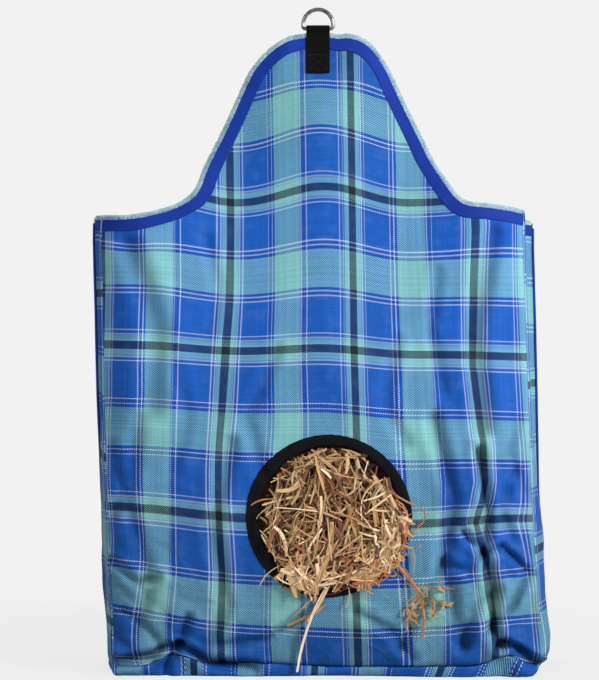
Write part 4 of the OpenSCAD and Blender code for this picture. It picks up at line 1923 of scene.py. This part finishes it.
@dataclass
class HayFill:
    """The hay: a lumpy mass, the stems over it in the feed hole and the mouth, and loose stems outside."""

    shape: BagShape
    stem_material: Finish
    mass_material: Finish
    hole_stems: int = 1250
    top_stems: int = 2300
    seed: int = 5

    def mass(self) -> Piece:
        """The lumpy mass, which swells into the feed hole.

        Returns:
            The piece.
        """
        s = self.shape
        low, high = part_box("hay_wad")
        bpy.ops.object.select_all(action="DESELECT")
        bpy.ops.mesh.primitive_cube_add(size=1)
        obj = bpy.context.active_object
        obj.name = obj.data.name = "hay_mass"
        bpy.ops.object.mode_set(mode="EDIT")
        bpy.ops.mesh.subdivide(number_cuts=63)
        bpy.ops.object.mode_set(mode="OBJECT")
        co = np.empty(len(obj.data.vertices) * 3)
        obj.data.vertices.foreach_get("co", co)
        cube = co.reshape(-1, 3) * 2
        size, middle = np.subtract(high, low) / 2, np.add(high, low) / 2
        p = cube * size + middle
        taper = np.interp(p[:, 1], [low[1], high[1]], [(s.seam_x - 0.016) / size[0], 1])
        p[:, 0] *= taper
        inner = 1 - 0.05 * smooth(0.8, 1.0, np.abs(cube[:, 0])) * smooth(0.8, 1.0, np.abs(cube[:, 1]))
        p[:, :2] *= inner[:, None]
        on_top, on_front = smooth(0.9, 1.0, cube[:, 2]), smooth(0.9, 1.0, -cube[:, 1])
        reach = np.hypot(p[:, 0] - s.hole[0], p[:, 2] - s.hole[1])
        bump = 0.006 * rough(p, (30, 30, 30), 12) + 0.004 * rough(p, (75, 75, 75), 13)
        swell = 0.009 * (1 - smooth(0.055, 0.088, reach))
        p[:, 1] -= on_front * (swell + bump * (1 - smooth(0.06, 0.09, reach)) * 0.7)
        heap = 0.010 * rough(p, (9, 9, 9), 14) + 0.8 * bump
        p[:, 2] += on_top * (heap + 0.012 * hump(0, 0.16, p[:, 0]) * hump(0, 0.05, p[:, 1]) - 0.008)
        p = s.settle(p)
        p[:, 2] = np.maximum(p[:, 2], 0.003)
        obj.data.vertices.foreach_set("co", p.ravel())
        layer = obj.data.uv_layers.active or obj.data.uv_layers.new()
        layer.name = "cloth"
        # Painted shade: the mass is given dark tones, varied at random, for the shade deep among the stems.
        tone = np.clip(0.22 + 0.22 * rough(p, (160, 160, 160), 15), 0, 1)
        set_tone(obj.data, tone)
        obj.data.shade_smooth()
        return dress(obj, self.mass_material, Slot.HAY)

    def guide_hole(self, centre: Points) -> Points:
        """Keeps stems inside the feed hole's binding, or lays them over its face.

        Args:
            centre: unsettled places along the stems.

        Returns:
            Settled places.
        """
        s = self.shape
        x, y, z = centre[..., 0], centre[..., 1], centre[..., 2]
        radius = np.hypot(x - s.hole[0], z - s.hole[1])
        over = smooth(0.074, 0.087, radius)
        clear = s.front_y - 0.0045 - 0.003 * (y.max() - y) / max(1e-6, float(np.ptp(y)))
        lifted = np.where(y > clear, y * (1 - over) + clear * over, y)
        return self.held_in(s.settle(spots(x, lifted, z)))

    def held_in(self, places: Points) -> Points:
        """Presses back whatever stands out more than about a finger's width from the front cloth.

        Args:
            places: settled places.

        Returns:
            The same places, pressed back.
        """
        start, room = self.shape.front_y - 0.0100, 0.0062
        beyond = np.maximum(0.0, start - places[..., 1])
        pressed = places.copy()
        pressed[..., 1] = np.where(beyond > 0, start - room * np.tanh(beyond / room), places[..., 1])
        return pressed

    def in_hole(self) -> Piece:
        """Tangled chopped stems and blades that fill the feed hole and spill over its lower rim.

        Returns:
            The piece.
        """
        s = self.shape
        rng = np.random.default_rng(self.seed)
        stems = Stems(rng)
        total = self.hole_stems * 6
        spill = rng.random(total) < 0.14
        lobe = rng.random(total)
        lobes = [rng.uniform(0.50, 1.62, total), rng.uniform(-0.68, -0.16, total)]
        bearing = np.select([lobe < 0.66, lobe < 0.90], lobes, rng.uniform(-0.68, 1.62, total))
        angle = np.where(spill, math.pi - bearing, rng.uniform(0, 2 * math.pi, total))
        reach = np.where(spill, rng.uniform(0.076, 0.099, total), 0.088 * rng.random(total) ** 0.43)
        middle = np.column_stack([s.hole[0] + reach * np.sin(angle), np.zeros(total),
                                  s.hole[1] + reach * np.cos(angle)])
        layer = np.where(spill, 1.0, rng.beta(1.1, 1.0, total))
        middle[:, 1] = s.front_y + 0.018 - 0.029 * layer
        face_on = middle * [1, 0, 1]
        drift = rough(face_on, (16, 1, 16), 31.0)
        heading = 1.5 + 1.6 * drift + rng.normal(0, 0.75, total)
        round_rim = (reach > 0.074) & ~spill & (rng.random(total) < 0.45)
        heading = np.where(round_rim, -angle + rng.normal(0, 0.6, total), heading)
        kind = rng.random(total)
        blade_or_leaf = [kind < 0.17, kind < 0.62]
        widths = [rng.uniform(3.4, 6.4, total), rng.uniform(2.0, 3.4, total)]
        width = np.select(blade_or_leaf, widths, rng.uniform(0.8, 1.7, total)) * MM
        flat = np.select(blade_or_leaf, [0.13, 0.28], 0.7) * rng.uniform(0.8, 1.3, total)
        length = (rng.gamma(4.0, 0.0100, total) + 0.008).clip(0.016, 0.095) * np.where(spill, 0.65, 1.0)
        run = np.column_stack([np.cos(heading), rng.normal(0, 0.22, total), np.sin(heading)])
        start, end = middle - run * length[:, None] / 2, middle + run * length[:, None] / 2
        bend = rng.normal(0, 1, (total, 3)) * np.array([1, 0.3, 1]) * length[:, None] * 0.15
        keep = np.ones(total, bool)
        for tip in (start, end):
            off = tip - np.array([s.hole[0], 0, s.hole[1]])
            radius = np.hypot(off[:, 0], off[:, 2])
            bearing = np.degrees(np.arctan2(off[:, 0], -off[:, 2]))
            lower_right = (bearing > 22) & (bearing < 98)
            lower_left = (bearing > -42) & (bearing < -6)
            allowed = np.where(lower_right | lower_left, 0.112, 0.0885)
            allowed = np.where((bearing >= -6) & (bearing <= 22), 0.098, allowed)
            allowed = np.where(rng.random(total) < 0.012, allowed + 0.012, allowed)
            keep &= radius < allowed
        chosen = np.flatnonzero(keep)[: self.hole_stems]
        patch = np.clip(rough(face_on, (24, 1, 24), 41.0), 0, 1)
        # Painted shade: stems that lie deeper in the hole get darker tones; the random red-brown patches also
        # darken more with depth.
        tone = stems.tones(total) - 0.55 * (1 - layer) ** 1.3 - 0.34 * patch * (1 - layer) ** 0.4
        per_stem = (start, middle + bend, end, width, flat, np.clip(tone, 0, 1))
        piece = stems.mesh("hay_in_feed_hole", *(values[chosen] for values in per_stem), (0, -1, 0),
                           self.guide_hole)
        return dress(piece, self.stem_material, Slot.HAY)

    def on_top(self) -> Piece:
        """Stems that lie on the hay inside the mouth.

        Returns:
            The piece.
        """
        s = self.shape
        rng = np.random.default_rng(self.seed + 1)
        stems = Stems(rng, rings=5)
        count = self.top_stems
        low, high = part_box("hay_wad")
        y = rng.uniform(low[1] + 0.006, high[1] - 0.004, count)
        room = np.interp(y, [low[1], high[1]], [s.seam_x - 0.045, high[0] - 0.024])
        x = rng.uniform(-1, 1, count) * room
        z = high[2] + 0.004 + 0.012 * hump(0, 0.16, x) * hump(0, 0.05, y) + rng.normal(0, 0.005, count)
        middle = np.column_stack([x, y, z])
        heading = rng.uniform(0, 2 * math.pi, count)
        length = rng.gamma(4.0, 0.014, count).clip(0.02, 0.12)
        run = np.column_stack([np.cos(heading), np.sin(heading) * 0.8, rng.normal(0.03, 0.16, count)])
        start, end = middle - run * length[:, None] / 2, middle + run * length[:, None] / 2
        for tip in (start, end):
            tip[:, 1] = tip[:, 1].clip(low[1] + 0.003, high[1])
            tip[:, 0] = tip[:, 0].clip(-room, room)
        middle = middle + rng.normal(0, 0.2, (count, 3)) * length[:, None] * np.array([1, 0.5, 0.6])
        middle[:, 1] = middle[:, 1].clip(low[1] + 0.003, high[1])
        width = rng.gamma(5, 0.00042, count).clip(0.0008, 0.005)
        flat = rng.uniform(0.2, 0.6, count)
        tone = stems.tones(count)
        piece = stems.mesh("hay_in_mouth", start, middle, end, width, flat, tone, (0, 0, 1), s.settle)
        return dress(piece, self.stem_material, Slot.HAY)

    def loose(self) -> Piece:
        """Loose stems that hang out over the feed hole's lower rim, some with leaves and branches.

        Returns:
            The piece.
        """
        s = self.shape
        rng = np.random.default_rng(self.seed + 2)
        stems = Stems(rng, rings=9)
        face = s.front_y - 0.0052
        listed = np.array(LOOSE_STEMS)
        start, middle, end = (spots(listed[:, k] * MM + s.hole[0], face, listed[:, k + 1] * MM + s.hole[1])
                              for k in (0, 2, 4))
        width = listed[:, 6] * 1.35 * MM
        tone = listed[:, 7]
        count = 50
        pick = rng.integers(7, 14, count)
        t = rng.uniform(0.1, 1.0, count)[:, None]
        root = start[pick] * (1 - t) ** 2 + 2 * middle[pick] * t * (1 - t) + end[pick] * t**2
        way = rng.normal(0, 1, (count, 3)) * np.array([0.007, 0.0, 0.007]) + np.array([0.001, 0, -0.004])
        start = np.concatenate([start, root])
        middle = np.concatenate([middle, root + way * 0.5 + rng.normal(0, 0.003, (count, 3)) * [1, 0.4, 1]])
        end = np.concatenate([end, root + way])
        width = np.concatenate([width, rng.uniform(1.2, 3.6, count) * MM])
        tone = np.concatenate([tone, rng.uniform(0.24, 0.62, count)])
        for group in (start, middle, end):
            group[:, 1] = face - rng.uniform(0, 0.0025, len(group))
            group[:, 2] = np.maximum(group[:, 2], 0.006)
        flat = rng.uniform(0.2, 0.5, len(width))
        piece = stems.mesh("hay_loose_stems", start, middle, end, width, flat, tone, (0, -1, 0),
                           lambda places: self.held_in(s.settle(places)))
        return dress(piece, self.stem_material, Slot.HAY)


# ---- studio


@dataclass
class Studio:
    """A pale floor and background, soft lights and a level camera in front of the bag."""

    backdrop: float = 0.888
    ambient: float = 0.30
    shadow_share: float = 0.22
    camera_distance: float = 2.6
    frame_width: float = 0.765
    camera_x: float = -0.0236
    camera_z: float = 0.4316

    def camera(self, front_y: float) -> None:
        """A level camera that looks along +Y.

        Args:
            front_y: where the bag's front stands.
        """
        data = bpy.data.cameras.new("camera")
        data.sensor_fit = "HORIZONTAL"
        data.sensor_width = 36
        data.dof.use_dof = False
        data.lens = data.sensor_width * self.camera_distance / self.frame_width
        data.clip_start, data.clip_end = 0.05, 60
        camera = bpy.data.objects.new("camera", data)
        camera.location = (self.camera_x, front_y - self.camera_distance, self.camera_z)
        camera.rotation_euler = (math.pi / 2, 0, 0)
        bpy.context.collection.objects.link(camera)
        bpy.context.scene.camera = camera

    def area(self, name: str, place: Triple, aim: Triple, size: float, power: float) -> None:
        """A square area light aimed at a point.

        Args:
            name: its name.
            place: where it stands.
            aim: the point that it faces.
            size: its side.
            power: its power.
        """
        data = bpy.data.lights.new(name, "AREA")
        data.size, data.energy = size, power
        light = bpy.data.objects.new(name, data)
        light.location = place
        light.rotation_euler = (Vector(aim) - Vector(place)).to_track_quat("-Z", "Y").to_euler()
        bpy.context.collection.objects.link(light)

    def lights(self) -> None:
        """A broad key from the upper right, a weaker fill from the left and a lamp behind."""
        self.area("key", (2.6, -1.9, 1.7), (0, 0, 0.36), 0.8, 118)
        self.area("fill", (-1.8, -2.6, 1.4), (0, 0, 0.4), 1.8, 26)
        self.area("rear", (-0.6, 2.6, 2.0), (0, 0, 0.5), 1.6, 40)

    def world(self) -> None:
        """A bright plain backdrop that lights the bag more gently than it looks."""
        world = bpy.data.worlds.new("plain")
        world.use_nodes = True
        bpy.context.scene.world = world
        tree = world.node_tree
        background = tree.nodes["Background"]
        background.inputs["Color"].default_value = (1, 1, 1, 1)
        path = tree.nodes.new("ShaderNodeLightPath")
        pick = tree.nodes.new("ShaderNodeMix")
        pick.data_type = "FLOAT"
        pick.inputs[2].default_value = self.ambient
        pick.inputs[3].default_value = self.backdrop
        tree.links.new(path.outputs["Is Camera Ray"], pick.inputs[0])
        tree.links.new(pick.outputs[0], background.inputs["Strength"])

    def floor(self) -> None:
        """A wide pale floor that meets the backdrop without a visible line."""
        bpy.ops.object.select_all(action="DESELECT")
        bpy.ops.mesh.primitive_grid_add(x_subdivisions=8, y_subdivisions=8, size=40)
        floor = bpy.context.active_object
        floor.name = floor.data.name = "floor"
        n = Nodes("pale_floor")
        place = n.place()
        shade = n.math("MULTIPLY_ADD", n.noise(place, 3.0), 0.03, 0.45)
        n.finish(n.bright((1.0, 1.0, 1.0), shade), 0.9, specular=0.0)
        away = n.tree.nodes.new("ShaderNodeVectorMath")
        away.operation = "LENGTH"
        n.link(place, away.inputs[0])
        near = n.math("MULTIPLY", n.math("SUBTRACT", 1.15, away.outputs["Value"]), 1.6)
        near = n.math("MULTIPLY", n.math("MINIMUM", n.math("MAXIMUM", near, 0.0), 1.0), self.shadow_share)
        path = n.tree.nodes.new("ShaderNodeLightPath")
        glow = n.tree.nodes.new("ShaderNodeEmission")
        n.link(n.math("MULTIPLY_ADD", near, 0.42, self.backdrop), glow.inputs["Strength"])
        mixed = n.tree.nodes.new("ShaderNodeMixShader")
        seen = n.math("MULTIPLY", path.outputs["Is Camera Ray"], n.math("SUBTRACT", 1.0, near))
        n.link(seen, mixed.inputs[0])
        n.link(n.shader.outputs[0], mixed.inputs[1])
        n.link(glow.outputs[0], mixed.inputs[2])
        n.link(mixed.outputs[0], n.tree.nodes["Material Output"].inputs["Surface"])
        floor.data.materials.append(n.material)

    def build(self, front_y: float) -> None:
        """Everything round the bag, shown with plain display colours.

        Args:
            front_y: where the bag's front stands.
        """
        bpy.context.scene.view_settings.view_transform = "Standard"
        self.camera(front_y)
        self.lights()
        self.world()
        self.floor()


# ---- assembly


@dataclass
class HayBag:
    """The whole bag: builds each sub-assembly, fixes most of them to a body and hides the frame's nodes that
    they replace.
    """

    shape: BagShape
    finishes: dict[str, Finish]

    def across_fold(self, *pieces: Piece) -> None:
        """Bakes each piece's transform into its mesh, without fixing it to a body."""
        for piece in pieces:
            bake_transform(piece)

    def cloths(self) -> None:
        """The sewn cloths and their mouth trims."""
        s = self.shape
        cloths = SewnCloths(s, self.finishes["plaid"])
        front = cloths.front()
        trim = self.trim(MouthEdge.along_front(s, 0.0033))
        self.across_fold(front, *trim)
        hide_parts("front_panel", "neck_panel")
        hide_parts("left_shoulder_tape", "right_shoulder_tape", "neck_tape")
        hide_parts("left_shoulder_overlock", "right_shoulder_overlock", "neck_overlock")
        for side in Side:
            word = side.name.lower()
            wall = cloths.gusset(side)
            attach(wall, "bag")
            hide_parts(f"{word}_gusset")
            ends = [(s.seam_x * side.value, s.seam_y + 0.002), (s.rear_x * side.value, s.back_y)]
            if side is Side.LEFT:
                ends.reverse()
            trim = self.trim(MouthEdge.along_plan(f"{word}_gusset", s, *ends, 0.0045))
            self.fix(trim, "bag")
            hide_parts(f"{word}_gusset_tape")
            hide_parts(f"{word}_gusset_overlock")
            seam = RearSeam(s, side, self.finishes["tape"], self.finishes["blue_thread"])
            binding = seam.build()
            self.fix([binding, seam.build_stitches()], "bag")
            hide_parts(f"{word}_rear_seam_binding")
        back = cloths.back()
        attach(back, "bag")
        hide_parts("back_panel")
        trim = self.trim(MouthEdge.along_plan("back", s, (s.rear_x, s.back_y + 0.0012),
                                              (-s.rear_x, s.back_y + 0.0012), 0.0060))
        self.fix(trim, "bag")
        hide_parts("back_tape")
        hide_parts("back_overlock")
        base = cloths.base()
        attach(base, "bag")
        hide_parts("base_panel")

    def trim(self, edge: MouthEdge) -> tuple[Piece, Piece, Piece]:
        """The trim of one edge.

        Args:
            edge: the edge.

        Returns:
            Its tape, stitches and overlock.
        """
        f = self.finishes
        maker = MouthTrim(edge, f["tape"], f["overlock"], f["blue_thread"])
        return maker.build_tape(), maker.build_stitches(), maker.build_overlock()

    @staticmethod
    def fix(pieces: Iterable[Piece], body: str) -> None:
        """Makes each piece move with one body."""
        for piece in pieces:
            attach(piece, body)

    def fittings(self, nodes: dict[str, Piece]) -> None:
        """The feed hole's binding, the tab and the ring.

        Args:
            nodes: the frame's nodes by name.
        """
        f = self.finishes
        hole = FeedHole(self.shape, f["binding"], f["black_thread"])
        binding, stitches = hole.build(), hole.build_stitches()
        self.fix([binding, stitches], "bag")
        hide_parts("feed_hole_binding")
        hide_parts("feed_hole_stitching")
        tab = HangingTab(f["webbing"], f["black_thread"])
        strap, cross = tab.build(), tab.build_stitches()
        self.fix([strap, cross], "neck")
        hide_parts("hanging_tab")
        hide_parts("tab_stitching")
        for slot in nodes["d_ring"].material_slots:
            slot.material = f["wire"]

    def hay(self) -> None:
        """The hay in the bag and the stems that hang out of it."""
        fill = HayFill(self.shape, self.finishes["stems"], self.finishes["mass"])
        mass, hole, top, loose = fill.mass(), fill.in_hole(), fill.on_top(), fill.loose()
        self.fix([mass, hole, top, loose], "bag")
        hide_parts("hay_wad")
        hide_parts("loose_stems")


def make_finishes() -> dict[str, Finish]:
    """Every material of the bag by a short name."""
    return {
        "plaid": PlaidMesh().material(),
        "tape": WovenTape("blue_edge_tape", (0.006, 0.040, 0.350)).material(),
        "webbing": WovenTape("black_tab_webbing", (0.0045, 0.0045, 0.0045), rib=0.0018, roughness=0.8,
                             relief=0.0004, gloss=0.08).material(),
        "binding": WovenTape("black_hole_binding", (0.007, 0.007, 0.009), rib=0.0010, roughness=0.8,
                             gloss=0.08).material(),
        "overlock": ThreadFinish("light_overlock_thread", (0.23, 0.41, 0.50), (0.56, 0.72, 0.80)).material(),
        "blue_thread": ThreadFinish("blue_tape_thread", (0.008, 0.03, 0.28), (0.02, 0.06, 0.46)).material(),
        "black_thread": ThreadFinish("black_sewing_thread", (0.008, 0.008, 0.009),
                                     (0.022, 0.022, 0.026)).material(),
        "wire": PolishedWire().material(),
        "stems": DryHay("dry_hay_stems").material(),
        # Painted shade: the mass's depth of 0.32 darkens it, for hay in shade behind the stems.
        "mass": DryHay("hay_mass_painted_shade", depth=0.32).material(),
    }


def main() -> None:
    """Loads the frame, builds the bag round it and sets the studio."""
    logging.basicConfig(level=logging.INFO, format="%(name)s %(message)s")
    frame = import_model()
    bpy.ops.object.select_all(action="DESELECT")
    shape = BagShape()
    Studio().build(shape.front_y)
    bag = HayBag(shape, make_finishes())
    bag.hay()
    bag.fittings(frame["nodes"])
    bag.cloths()
    only(bpy.context.scene.camera)


if __name__ == "__main__":
    main()
